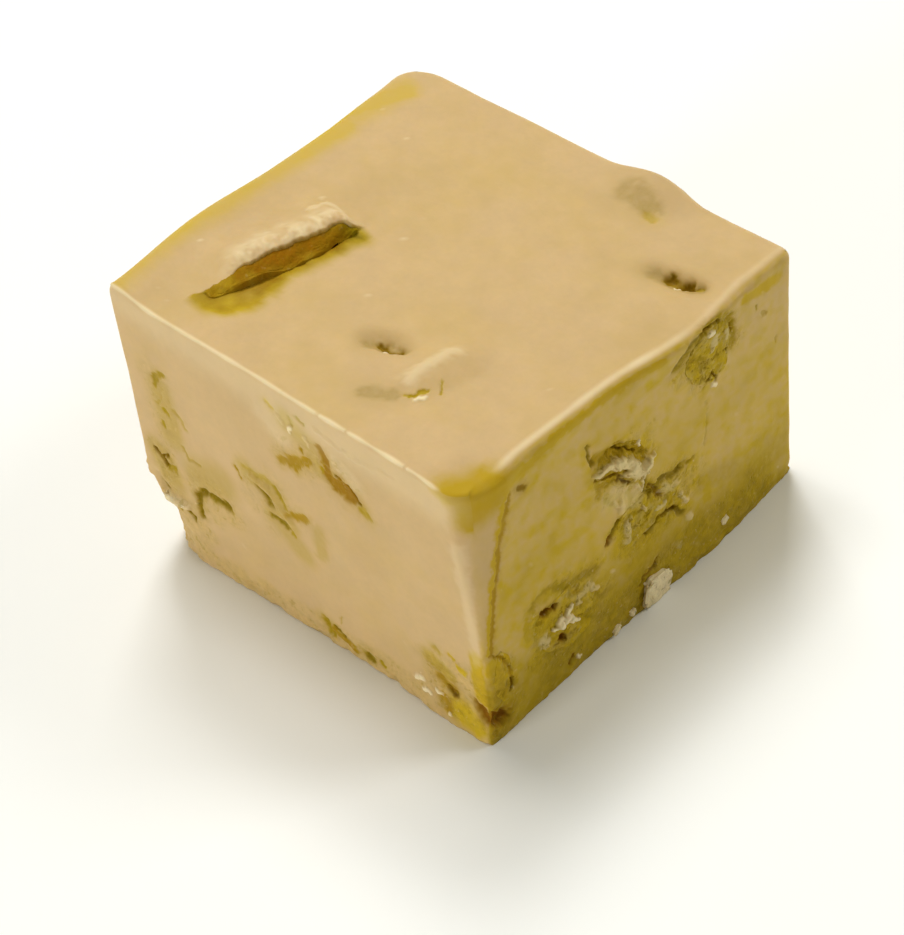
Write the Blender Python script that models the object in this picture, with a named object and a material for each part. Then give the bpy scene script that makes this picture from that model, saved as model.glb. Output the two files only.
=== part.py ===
"""A square of walnut fudge, cut by knife from a poured slab.

One block of set fudge with a smooth poured top and four cut sides, and the walnut pieces that show in its top and
in two of its sides. Each walnut piece is a solid of its own and lies in a pocket of the block, cut off level with
the side that the knife left. Metres, +Z up, origin at the middle of the underside.
"""

import math

import bmesh
import bpy
from mathutils import Matrix, Vector, noise

MM = 0.001

# The block before its corners are moved: X runs along the front cut, Y along the right-hand cut.
BLOCK_WIDTH = 45.0 * MM
BLOCK_DEPTH = 44.0 * MM
BLOCK_HEIGHT = 31.0 * MM
HALF_WIDTH = BLOCK_WIDTH / 2
HALF_DEPTH = BLOCK_DEPTH / 2

# How far each corner stands off the plain box, keyed by the signs of its X and Y. The slab was thicker on one side.
TOP_SHIFT = {
    (-1, -1): (0.0, 0.7 * MM, 1.3 * MM),
    (1, -1): (-0.6 * MM, -0.4 * MM, 0.6 * MM),
    (1, 1): (1.0 * MM, 0.3 * MM, -1.7 * MM),
    (-1, 1): (-0.8 * MM, -0.3 * MM, 0.6 * MM),
}
BASE_SHIFT = {
    (-1, -1): (0.5 * MM, 0.0, 0.0),
    (1, -1): (0.0, -0.3 * MM, 0.0),
    (1, 1): (0.2 * MM, 0.6 * MM, 0.0),
    (-1, 1): (-0.2 * MM, 0.2 * MM, 0.0),
}

# Brings the middle of the finished block's box over the origin.
CENTRING_SHIFT = Vector((-0.07 * MM, 0.13 * MM, 0.0))

# Upright edges: each is worn or broken back to an ellipse in plan, whose size changes between two heights.
# The values are the reach along X and along Y at the lower height, the same at the upper height, and the heights.
UPRIGHT_EDGES = {
    (-1, -1): ((6.6 * MM, 5.2 * MM), (0.6 * MM, 0.6 * MM), 3.5 * MM, 9.5 * MM),
    (1, -1): ((0.5 * MM, 0.5 * MM), (2.6 * MM, 5.8 * MM), 10.0 * MM, 31.0 * MM),
    (1, 1): ((0.9 * MM, 0.9 * MM), (1.2 * MM, 1.2 * MM), 0.0, 31.0 * MM),
    (-1, 1): ((1.0 * MM, 1.0 * MM), (4.2 * MM, 3.4 * MM), 12.0 * MM, 31.0 * MM),
}

# Rims: the front cut leaves a crisp top edge, the others are softer, and the left one is full and round.
FRONT_RIM = 0.6 * MM
RIGHT_RIM = 1.1 * MM
BACK_RIM = 1.2 * MM
LEFT_RIM = 1.7 * MM
BASE_RIM = 0.4 * MM
RIM_BLEND = 24.0  # how abruptly one rim's radius gives way to the next at a corner
RIM_SLANT = 0.3  # how far a rim's rounding leans towards the block's middle

# Grid of the block: cells along X, Y and Z, and how strongly the lines crowd towards the edges.
GRID_CELLS = (22, 22, 15)
EDGE_CROWDING = 0.5
UNDERSIDE_LEVEL = 0.01 * MM  # whatever lies lower is the flat underside
SHARP_ANGLE = math.radians(40.0)

# Mounds and hollows of the poured top: place, half length, half width, turn from X in degrees, and height.
TOP_RELIEF = {
    "ridge_skin": ((-13.6 * MM, -8.2 * MM), 8.5 * MM, 3.2 * MM, 74.0, 1.0 * MM),
    "lump": ((9.2 * MM, -10.8 * MM), 4.6 * MM, 2.4 * MM, 80.0, 0.9 * MM),
    "lump_hollow": ((9.6 * MM, -15.6 * MM), 3.0 * MM, 2.0 * MM, 20.0, -0.4 * MM),
    "front_pit": ((3.2 * MM, -11.0 * MM), 2.6 * MM, 1.5 * MM, 15.0, -0.8 * MM),
    "right_pit": ((17.6 * MM, 12.0 * MM), 3.0 * MM, 1.5 * MM, 12.0, -0.9 * MM),
    "back_bump": ((7.6 * MM, 20.8 * MM), 4.2 * MM, 3.0 * MM, 10.0, 1.2 * MM),
    "left_swell": ((-21.5 * MM, -14.0 * MM), 13.0 * MM, 3.6 * MM, 90.0, 0.9 * MM),
    "right_sag": ((22.0 * MM, 7.0 * MM), 9.0 * MM, 3.5 * MM, 90.0, -0.5 * MM),
    "corner_sag": ((22.0 * MM, -19.5 * MM), 4.5 * MM, 3.0 * MM, 60.0, -0.9 * MM),
}
TOP_WAVE_HEIGHT = 0.15 * MM
TOP_WAVE_LENGTH = 12.0 * MM
RELIEF_DEPTH = 9.0 * MM  # how far down the sides the top's relief is felt
RELIEF_STEEPNESS = 1.3  # how soon a mound or a swelling dies out beyond its own size
SIDE_START = 0.6  # where the sides' swellings begin, as a share of the way from the middle to the side

# Swellings of the cut sides, as the knife left them: place along the side and up, half sizes, and how far out.
FRONT_SWELLS = {
    "smear": ((6.4 * MM, 14.0 * MM), (2.6 * MM, 7.0 * MM), 0.35 * MM),
    "foot": ((18.0 * MM, 0.0), (7.0 * MM, 3.5 * MM), 0.8 * MM),
    "hollow": ((-6.0 * MM, 22.0 * MM), (9.0 * MM, 6.0 * MM), -0.3 * MM),
}
RIGHT_SWELLS = {
    "foot": ((9.0 * MM, 0.0), (13.0 * MM, 4.5 * MM), 0.7 * MM),
    "shoulder": ((-4.0 * MM, 23.0 * MM), (8.0 * MM, 5.0 * MM), 0.25 * MM),
    "set_back": ((7.0 * MM, 31.0 * MM), (6.5 * MM, 3.0 * MM), -0.7 * MM),
}
LEFT_SWELLS = {
    "shoulder": ((-10.0 * MM, 29.0 * MM), (12.0 * MM, 7.0 * MM), 0.7 * MM),
    "foot": ((6.0 * MM, 0.0), (12.0 * MM, 5.0 * MM), 0.3 * MM),
}
BACK_SWELLS = {
    "bump": ((8.0 * MM, 29.0 * MM), (4.0 * MM, 5.0 * MM), 0.5 * MM),
    "foot": ((-6.0 * MM, 0.0), (12.0 * MM, 5.0 * MM), 0.3 * MM),
}
CUT_WAVE_HEIGHT = 0.12 * MM
CUT_WAVE_LENGTH = 9.0 * MM

# Walnut pieces. Each has the side that it shows in, its middle on that side (along it and up it, or X and Y on the
# top), its half length, half width and half thickness, its turn on that side in degrees, how deep its middle lies,
# how far its face stands proud of the side, and the seed of its lumps.
WALNUTS = {
    "walnut_ridge": ("top", (-12.9, -8.6), (8.8, 2.9, 3.1), 76.0, 1.2, 3.0, 3),
    "walnut_upper": ("right", (9.6, 25.7), (4.2, 3.5, 3.0), -50.0, 1.0, 0.1, 5),
    "walnut_pale": ("right", (-2.6, 20.7), (5.1, 2.5, 3.2), -38.0, 1.2, 0.2, 8),
    "walnut_rough": ("right", (0.9, 11.8), (5.4, 2.6, 2.8), -28.0, 1.0, 0.1, 13),
    "walnut_low": ("right", (-11.5, 7.7), (4.9, 4.1, 3.6), -35.0, 1.4, 0.1, 21),
    "walnut_corner": ("right", (-20.0, 7.2), (1.5, 3.4, 1.7), 4.0, 0.6, 0.3, 34),
    "walnut_cleft": ("front", (-12.2, 12.0), (3.6, 2.7, 2.6), 20.0, 1.0, 0.0, 55),
    "walnut_long": ("front", (-2.9, 14.4), (5.6, 2.1, 2.6), -48.0, 0.9, 0.0, 89),
    "walnut_brown": ("front", (6.5, 24.2), (2.3, 1.3, 1.8), -38.0, 0.6, 0.0, 144),
    "walnut_base": ("front", (16.2, 5.4), (2.7, 1.9, 2.2), -55.0, 0.8, 0.1, 233),
}
SMALL_WALNUT = 3.5 * MM  # pieces with a shorter half length get the coarser ball
GAP = 0.3 * MM
LUMP_HEIGHT = 0.16  # of a piece's own size
LUMP_COUNT = 1.7
FOLD_DEPTH = 0.10
FOLD_COUNT = 2.4
FOLD_WANDER = 3.0  # how far a fold strays from a straight line
BEND = 0.14  # how far the ends of a piece curve to one side

FUDGE_COLOUR = (0.67, 0.46, 0.22, 1.0)
WALNUT_COLOUR = (0.42, 0.30, 0.10, 1.0)


def smooth_step(value):
    """0 below 0, 1 above 1, and an S-shaped curve between them."""
    value = max(0.0, min(1.0, value))
    return value * value * (3.0 - 2.0 * value)


def bell(distance):
    """1 in the middle and 0 from a distance of 2 on, in a smooth bell."""
    return 1.0 - smooth_step(abs(distance) / 2.0)


def crowd(value):
    """Moves a grid line, from -1 to 1, towards the nearer end."""
    return (1.0 - EDGE_CROWDING) * value + EDGE_CROWDING * math.sin(value * math.pi / 2)


def upright_reach(corner, height):
    """The reach along X and Y of an upright edge's rounding at a height."""
    low, high, low_height, high_height = UPRIGHT_EDGES[corner]
    share = smooth_step((height - low_height) / (high_height - low_height))
    return tuple(a + (b - a) * share for a, b in zip(low, high))


def round_upright_edges(point):
    """Moves a point of the plain box in towards the ellipse of the nearest upright edge."""
    corner = (1 if point.x >= 0 else -1, 1 if point.y >= 0 else -1)
    reach_x, reach_y = upright_reach(corner, point.z)
    inner_x = HALF_WIDTH - reach_x
    inner_y = HALF_DEPTH - reach_y
    out_x = max(0.0, abs(point.x) - inner_x) / reach_x
    out_y = max(0.0, abs(point.y) - inner_y) / reach_y
    length = math.hypot(out_x, out_y)
    if out_x == 0.0 or out_y == 0.0:
        return point.copy()
    scale = max(out_x, out_y) / length
    x = corner[0] * (inner_x + reach_x * out_x * scale)
    y = corner[1] * (inner_y + reach_y * out_y * scale)
    return Vector((x, y, point.z))


def rim_radius(point):
    """The radius of the top rim nearest to a point of the plain box, blended round the corners."""
    weights = {
        FRONT_RIM: (HALF_DEPTH - point.y) / BLOCK_DEPTH,
        BACK_RIM: (HALF_DEPTH + point.y) / BLOCK_DEPTH,
        RIGHT_RIM: (HALF_WIDTH + point.x) / BLOCK_WIDTH,
        LEFT_RIM: (HALF_WIDTH - point.x) / BLOCK_WIDTH,
    }
    total = sum(weight**RIM_BLEND for weight in weights.values())
    return sum(radius * weight**RIM_BLEND for radius, weight in weights.items()) / total


def round_rim(point, plain):
    """Moves a point near the top or the base rim in and up or down, onto the rim's quarter circle."""
    side_gap = min(HALF_WIDTH - abs(plain.x), HALF_DEPTH - abs(plain.y))
    near_top = plain.z > BLOCK_HEIGHT / 2
    radius = rim_radius(plain) if near_top else BASE_RIM
    level_gap = BLOCK_HEIGHT - plain.z if near_top else plain.z
    if side_gap >= radius or level_gap >= radius:
        return point
    across = radius - side_gap
    upwards = radius - level_gap
    length = math.hypot(across, upwards)
    inset = radius - radius * across / length - side_gap
    drop = radius - radius * upwards / length - level_gap
    middle = Vector((0.0, 0.0, point.z))
    inward = (middle - point).normalized()
    straight_x = HALF_WIDTH - abs(plain.x) < HALF_DEPTH - abs(plain.y)
    if straight_x:
        inward = Vector((math.copysign(1.0, -point.x), inward.y * RIM_SLANT, 0.0)).normalized()
    else:
        inward = Vector((inward.x * RIM_SLANT, math.copysign(1.0, -point.y), 0.0)).normalized()
    moved = point + inward * inset
    moved.z += -drop if near_top else drop
    return moved


def move_corners(point):
    """Carries a point with the block's eight corners, each by its own share."""
    across = (point.x + HALF_WIDTH) / BLOCK_WIDTH
    along = (point.y + HALF_DEPTH) / BLOCK_DEPTH
    up = point.z / BLOCK_HEIGHT
    moved = point + CENTRING_SHIFT
    for (sign_x, sign_y), top in TOP_SHIFT.items():
        share = (across if sign_x > 0 else 1.0 - across) * (along if sign_y > 0 else 1.0 - along)
        base = BASE_SHIFT[(sign_x, sign_y)]
        moved += share * (up * Vector(top) + (1.0 - up) * Vector(base))
    return moved


def top_relief(x, y):
    """The height of the poured top's mounds, hollows and slow waves at a place."""
    height = TOP_WAVE_HEIGHT * noise.noise(Vector((x, y, 0.0)) / TOP_WAVE_LENGTH)
    for (middle_x, middle_y), length, width, turn, rise in TOP_RELIEF.values():
        angle = math.radians(turn)
        along = (x - middle_x) * math.cos(angle) + (y - middle_y) * math.sin(angle)
        across = (y - middle_y) * math.cos(angle) - (x - middle_x) * math.sin(angle)
        height += rise * bell(math.hypot(along / length, across / width) * RELIEF_STEEPNESS)
    return height


def swell(swells, along, up):
    """How far a cut side stands out at a place along it and up it."""
    out = 0.0
    for (middle, level), (half_length, half_height), distance in swells.values():
        away = math.hypot((along - middle) / half_length, (up - level) / half_height)
        out += distance * bell(away * RELIEF_STEEPNESS)
    wave = Vector((along, up, HALF_WIDTH * len(swells))) / CUT_WAVE_LENGTH
    return out + CUT_WAVE_HEIGHT * noise.noise(wave)


def raise_relief(point):
    """Adds the top's relief and the sides' swellings to a point of the rounded block."""
    top_share = smooth_step((point.z - (BLOCK_HEIGHT - RELIEF_DEPTH)) / RELIEF_DEPTH)
    side_x = smooth_step((abs(point.x) / HALF_WIDTH - SIDE_START) / (1.0 - SIDE_START))
    side_y = smooth_step((abs(point.y) / HALF_DEPTH - SIDE_START) / (1.0 - SIDE_START))
    out_x = swell(RIGHT_SWELLS if point.x > 0 else LEFT_SWELLS, point.y, point.z)
    out_y = swell(BACK_SWELLS if point.y > 0 else FRONT_SWELLS, point.x, point.z)
    moved = point.copy()
    moved.x += math.copysign(out_x * side_x, point.x)
    moved.y += math.copysign(out_y * side_y, point.y)
    moved.z += top_relief(point.x, point.y) * top_share
    return moved


def shape(plain):
    """The place on the finished block of a point of the plain box."""
    point = round_upright_edges(plain)
    point = round_rim(point, plain)
    point = raise_relief(point)
    return move_corners(point)


def make_material(name, colour, roughness):
    """A Principled material in one colour."""
    material = bpy.data.materials.new(name)
    material.use_nodes = True
    shader = material.node_tree.nodes["Principled BSDF"]
    shader.inputs["Base Color"].default_value = colour
    shader.inputs["Roughness"].default_value = roughness
    shader.inputs["Metallic"].default_value = 0.0
    return material


def add_object(name, bm, collection, material):
    """Turns a bmesh into an object of a collection."""
    mesh = bpy.data.meshes.new(name)
    bm.to_mesh(mesh)
    bm.free()
    mesh.materials.append(material)
    mesh.shade_smooth()
    mesh.set_sharp_from_angle(angle=SHARP_ANGLE)
    obj = bpy.data.objects.new(name, mesh)
    collection.objects.link(obj)
    return obj


def edges_along(bm, axis):
    """The edges of a box that run along one axis."""
    return [edge for edge in bm.edges if abs((edge.verts[0].co - edge.verts[1].co).normalized()[axis]) > 0.9]


def gridded_box():
    """A box from -1 to 1 whose faces are cut into the block's grid."""
    bm = bmesh.new()
    bmesh.ops.create_cube(bm, size=2.0)
    for axis, cells in enumerate(GRID_CELLS):
        bmesh.ops.subdivide_edges(bm, edges=edges_along(bm, axis), cuts=cells - 1, use_grid_fill=True)
    return bm


def make_fudge(collection, material):
    """The block: a gridded box carried onto its true form, with one flat underside."""
    bm = gridded_box()
    for vert in bm.verts:
        plain = Vector((crowd(vert.co.x) * HALF_WIDTH, crowd(vert.co.y) * HALF_DEPTH, 0.0))
        plain.z = (crowd(vert.co.z) + 1.0) / 2 * BLOCK_HEIGHT
        vert.co = shape(plain)
    bm.normal_update()
    underside = [face for face in bm.faces if all(vert.co.z < UNDERSIDE_LEVEL for vert in face.verts)]
    bmesh.ops.dissolve_faces(bm, faces=underside, use_verts=True)
    return add_object("fudge", bm, collection, material)


def side_frame(side, along, up):
    """A place on the finished block's side, as a matrix: X along the side, Y up it and Z straight out of it."""
    step = 0.5 * MM
    plain_at = {
        "top": lambda a, b: Vector((a, b, BLOCK_HEIGHT)),
        "right": lambda a, b: Vector((HALF_WIDTH, a, b)),
        "front": lambda a, b: Vector((a, -HALF_DEPTH, b)),
    }[side]
    place = shape(plain_at(along, up))
    run = (shape(plain_at(along + step, up)) - shape(plain_at(along - step, up))).normalized()
    rise = shape(plain_at(along, up + step)) - shape(plain_at(along, up - step))
    out = run.cross(rise).normalized()
    frame = Matrix((run, out.cross(run), out)).transposed().to_4x4()
    frame.translation = place
    return frame


def lumpy_ball(half_sizes, seed, detail):
    """A broken walnut piece: a ball stretched to its half sizes, with lumps and the nut's folds."""
    bm = bmesh.new()
    bmesh.ops.create_icosphere(bm, subdivisions=detail, radius=1.0)
    shift = Vector((seed, 2.0 * seed, 0.5 * seed))
    for vert in bm.verts:
        lumps = LUMP_HEIGHT * noise.noise(vert.co * LUMP_COUNT + shift)
        folds = FOLD_DEPTH * abs(math.sin(FOLD_COUNT * vert.co.x + FOLD_WANDER * noise.noise(vert.co + shift)))
        vert.co *= 1.0 + lumps - folds
        vert.co.y += BEND * (1.0 - 2.0 * vert.co.x**2)
        vert.co = Vector(size * value for size, value in zip(half_sizes, vert.co))
    bm.normal_update()
    return bm


def make_walnut(name, collection, cutters, material, fudge):
    """One walnut piece, cut off level with its side, and the pocket that it lies in."""
    side, (along, up), half_sizes, turn, depth, proud, seed = WALNUTS[name]
    half_sizes = [size * MM for size in half_sizes]
    detail = 2 if max(half_sizes) < SMALL_WALNUT else 3
    frame = side_frame(side, along * MM, up * MM)
    place = frame @ Matrix.Translation((0.0, 0.0, -depth * MM)) @ Matrix.Rotation(math.radians(turn), 4, "Z")

    piece = lumpy_ball(half_sizes, seed, detail)
    bmesh.ops.transform(piece, matrix=place, verts=piece.verts)
    level = frame.translation + frame.col[2].to_3d() * (proud * MM)
    everything = piece.verts[:] + piece.edges[:] + piece.faces[:]
    cut = bmesh.ops.bisect_plane(
        piece, geom=everything, plane_co=level, plane_no=frame.col[2].to_3d(), clear_outer=True
    )
    rim = [edge for edge in cut["geom_cut"] if isinstance(edge, bmesh.types.BMEdge)]
    if rim:
        bmesh.ops.contextual_create(piece, geom=rim)
    add_object(name, piece, collection, material)

    pocket = lumpy_ball(half_sizes, seed, detail)
    for vert in pocket.verts:
        vert.co += vert.normal * GAP
    bmesh.ops.transform(pocket, matrix=place, verts=pocket.verts)
    cutter = add_object(name + "_pocket", pocket, cutters, material)
    cutter.hide_render = True
    cutter.display_type = "WIRE"
    cut_out = fudge.modifiers.new(cutter.name, "BOOLEAN")
    cut_out.operation = "DIFFERENCE"
    cut_out.solver = "EXACT"
    cut_out.object = cutter


def add_collection(name):
    """A new collection of the scene."""
    collection = bpy.data.collections.new(name)
    bpy.context.scene.collection.children.link(collection)
    return collection


def main():
    for obj in list(bpy.data.objects):
        bpy.data.objects.remove(obj, do_unlink=True)
    pieces = add_collection("walnut_fudge_square")
    cutters = add_collection("cutters")
    fudge_finish = make_material("fudge", FUDGE_COLOUR, 0.45)
    walnut_finish = make_material("walnut", WALNUT_COLOUR, 0.6)
    fudge = make_fudge(pieces, fudge_finish)
    for name in WALNUTS:
        make_walnut(name, pieces, cutters, walnut_finish, fudge)


main()
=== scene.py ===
"""A square of walnut fudge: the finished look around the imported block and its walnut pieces."""

import math

import bmesh
import bpy
import numpy as np
from bpy.props import FloatProperty, FloatVectorProperty, IntProperty, PointerProperty
from mathutils import Matrix, Vector, noise


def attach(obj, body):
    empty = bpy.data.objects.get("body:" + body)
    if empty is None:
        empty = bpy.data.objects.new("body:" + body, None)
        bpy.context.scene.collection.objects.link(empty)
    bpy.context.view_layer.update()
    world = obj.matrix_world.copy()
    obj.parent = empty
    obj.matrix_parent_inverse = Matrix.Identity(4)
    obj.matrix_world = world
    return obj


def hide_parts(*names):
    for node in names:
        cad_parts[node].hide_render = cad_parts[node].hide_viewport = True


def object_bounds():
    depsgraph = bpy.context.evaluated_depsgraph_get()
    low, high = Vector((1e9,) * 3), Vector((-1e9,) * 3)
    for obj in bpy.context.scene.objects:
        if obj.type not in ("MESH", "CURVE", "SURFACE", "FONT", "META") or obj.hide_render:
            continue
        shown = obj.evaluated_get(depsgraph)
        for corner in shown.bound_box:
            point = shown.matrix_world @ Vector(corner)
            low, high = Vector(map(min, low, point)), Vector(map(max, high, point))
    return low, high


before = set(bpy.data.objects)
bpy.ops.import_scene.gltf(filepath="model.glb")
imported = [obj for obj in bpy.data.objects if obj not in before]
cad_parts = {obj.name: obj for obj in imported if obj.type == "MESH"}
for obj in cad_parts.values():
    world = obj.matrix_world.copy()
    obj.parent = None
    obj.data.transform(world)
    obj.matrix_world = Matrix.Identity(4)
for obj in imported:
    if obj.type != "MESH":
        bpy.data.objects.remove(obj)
CAD_BOX = [list(corner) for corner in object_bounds()]

bl_info = {
    "name": "Walnut fudge square",
    "version": (1, 0, 0),
    "blender": (4, 5, 0),
    "location": "3D View > Sidebar > Fudge",
    "description": "Finishes the packed square of walnut fudge: block, walnut pieces, crumbs and stage",
    "category": "Add Mesh",
}

MM = 0.001

# The block's form, as the part's source gives it.
BLOCK_WIDTH = 45.0 * MM
BLOCK_DEPTH = 44.0 * MM
BLOCK_HEIGHT = 31.0 * MM
HALF_WIDTH = BLOCK_WIDTH / 2
HALF_DEPTH = BLOCK_DEPTH / 2
TOP_SHIFT = {
    (-1, -1): (0.0, 0.7 * MM, 1.3 * MM),
    (1, -1): (-0.6 * MM, -0.4 * MM, 0.6 * MM),
    (1, 1): (1.0 * MM, 0.3 * MM, -1.7 * MM),
    (-1, 1): (-0.8 * MM, -0.3 * MM, 0.6 * MM),
}
BASE_SHIFT = {
    (-1, -1): (0.5 * MM, 0.0, 0.0),
    (1, -1): (0.0, -0.3 * MM, 0.0),
    (1, 1): (0.2 * MM, 0.6 * MM, 0.0),
    (-1, 1): (-0.2 * MM, 0.2 * MM, 0.0),
}
CENTRING_SHIFT = (-0.07 * MM, 0.13 * MM, 0.0)
UPRIGHT_EDGES = {
    (-1, -1): ((6.6 * MM, 5.2 * MM), (0.6 * MM, 0.6 * MM), 3.5 * MM, 9.5 * MM),
    (1, -1): ((0.5 * MM, 0.5 * MM), (2.6 * MM, 5.8 * MM), 10.0 * MM, 31.0 * MM),
    (1, 1): ((0.9 * MM, 0.9 * MM), (1.2 * MM, 1.2 * MM), 0.0, 31.0 * MM),
    (-1, 1): ((1.0 * MM, 1.0 * MM), (4.2 * MM, 3.4 * MM), 12.0 * MM, 31.0 * MM),
}
FRONT_RIM = 0.6 * MM
RIGHT_RIM = 1.1 * MM
BACK_RIM = 1.2 * MM
LEFT_RIM = 1.7 * MM
BASE_RIM = 0.4 * MM
RIM_BLEND = 24.0
RIM_SLANT = 0.3
EDGE_CROWDING = 0.5
UNDERSIDE_LEVEL = 0.01 * MM
TOP_RELIEF = {
    "lump": ((9.2 * MM, -10.8 * MM), 4.6 * MM, 2.4 * MM, 80.0, 0.9 * MM),
    "lump_hollow": ((9.6 * MM, -15.6 * MM), 3.0 * MM, 2.0 * MM, 20.0, -0.4 * MM),
    "front_pit": ((3.2 * MM, -11.0 * MM), 2.6 * MM, 1.5 * MM, 15.0, -0.8 * MM),
    "right_pit": ((17.6 * MM, 12.0 * MM), 3.0 * MM, 1.5 * MM, 12.0, -0.9 * MM),
    "back_bump": ((7.6 * MM, 20.8 * MM), 4.2 * MM, 3.0 * MM, 10.0, 1.2 * MM),
    "left_swell": ((-21.5 * MM, -14.0 * MM), 13.0 * MM, 3.6 * MM, 90.0, 0.9 * MM),
    "right_sag": ((22.0 * MM, 7.0 * MM), 9.0 * MM, 3.5 * MM, 90.0, -0.5 * MM),
    "corner_sag": ((22.0 * MM, -19.5 * MM), 4.5 * MM, 3.0 * MM, 60.0, -0.9 * MM),
}
TOP_WAVE_HEIGHT = 0.15 * MM
TOP_WAVE_LENGTH = 12.0 * MM
RELIEF_DEPTH = 9.0 * MM
RELIEF_STEEPNESS = 1.3
SIDE_START = 0.6
FRONT_SWELLS = {
    "smear": ((6.4 * MM, 14.0 * MM), (2.6 * MM, 7.0 * MM), 0.35 * MM),
    "foot": ((18.0 * MM, 0.0), (7.0 * MM, 3.5 * MM), 0.8 * MM),
    "hollow": ((-6.0 * MM, 22.0 * MM), (9.0 * MM, 6.0 * MM), -0.3 * MM),
}
RIGHT_SWELLS = {
    "foot": ((9.0 * MM, 0.0), (13.0 * MM, 4.5 * MM), 0.7 * MM),
    "shoulder": ((-4.0 * MM, 23.0 * MM), (8.0 * MM, 5.0 * MM), 0.25 * MM),
    "set_back": ((7.0 * MM, 31.0 * MM), (6.5 * MM, 3.0 * MM), -0.7 * MM),
}
LEFT_SWELLS = {
    "shoulder": ((-10.0 * MM, 29.0 * MM), (12.0 * MM, 7.0 * MM), 0.7 * MM),
    "foot": ((6.0 * MM, 0.0), (12.0 * MM, 5.0 * MM), 0.3 * MM),
}
BACK_SWELLS = {
    "bump": ((8.0 * MM, 29.0 * MM), (4.0 * MM, 5.0 * MM), 0.5 * MM),
    "foot": ((-6.0 * MM, 0.0), (12.0 * MM, 5.0 * MM), 0.3 * MM),
}
CUT_WAVE_HEIGHT = 0.12 * MM
CUT_WAVE_LENGTH = 9.0 * MM
WALNUTS = {
    "walnut_ridge": ("top", (-12.9, -8.6), (8.8, 2.9, 3.1), 76.0, 1.2, 3.0, 3),
    "walnut_upper": ("right", (9.6, 25.7), (4.2, 3.5, 3.0), -50.0, 1.0, 0.1, 5),
    "walnut_pale": ("right", (-2.6, 20.7), (5.1, 2.5, 3.2), -38.0, 1.2, 0.2, 8),
    "walnut_rough": ("right", (0.9, 11.8), (5.4, 2.6, 2.8), -28.0, 1.0, 0.1, 13),
    "walnut_low": ("right", (-11.5, 7.7), (4.9, 4.1, 3.6), -35.0, 1.4, 0.1, 21),
    "walnut_corner": ("right", (-20.0, 7.2), (1.5, 3.4, 1.7), 4.0, 0.6, 0.3, 34),
    "walnut_cleft": ("front", (-12.2, 12.0), (3.6, 2.7, 2.6), 20.0, 1.0, 0.0, 55),
    "walnut_long": ("front", (-2.9, 14.4), (5.6, 2.1, 2.6), -48.0, 0.9, 0.0, 89),
    "walnut_brown": ("front", (6.5, 24.2), (2.3, 1.3, 1.8), -38.0, 0.6, 0.0, 144),
    "walnut_base": ("front", (16.2, 5.4), (2.7, 1.9, 2.2), -55.0, 0.8, 0.1, 233),
}
LUMP_HEIGHT = 0.16
LUMP_COUNT = 1.7
FOLD_DEPTH = 0.10
FOLD_COUNT = 2.4
FOLD_WANDER = 3.0
BEND = 0.14

# Tints that a mark leaves, as shares of gold, olive, brown and cream.
TINTS = {
    "plain": (0.0, 0.0, 0.0, 0.0),
    "gold": (0.9, 0.0, 0.0, 0.0),
    "warm": (0.46, 0.0, 0.0, 0.0),
    "honey": (0.64, 0.0, 0.0, 0.0),
    "stain": (0.30, 0.20, 0.0, 0.0),
    "amber": (1.0, 0.0, 0.15, 0.0),
    # mustard: painted shade for the slumped near corner, which turns away from the light.
    "mustard": (1.0, 0.05, 0.24, 0.0),
    "olive": (0.9, 0.45, 0.0, 0.0),
    "faint_olive": (0.55, 0.30, 0.0, 0.0),
    "crack": (0.9, 0.55, 0.05, 0.0),
    "cleft": (0.95, 1.0, 0.10, 0.0),
    "moss": (0.95, 0.30, 0.0, 0.0),
    "light_moss": (0.92, 0.18, 0.0, 0.0),
    "hollow": (1.0, 0.38, 0.22, 0.0),
    "ribbon": (1.0, 0.0, 0.0, 0.60),
    "dark": (0.95, 1.0, 0.40, 0.0),
    "nut_skin": (1.0, 0.25, 0.45, 0.0),
    "nut_brown": (1.0, 0.20, 0.75, 0.0),
    "hole": (1.0, 0.25, 1.0, 0.0),
    "cream": (0.0, 0.0, 0.0, 0.9),
    "faint_cream": (0.0, 0.0, 0.0, 0.32),
    "pale": (0.0, 0.0, 0.0, 0.22),
    # shade: painted shade, olive without gold, for the pits and the shaded sides of bumps on the top.
    "shade": (0.0, 0.42, 0.0, 0.0),
}

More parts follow.
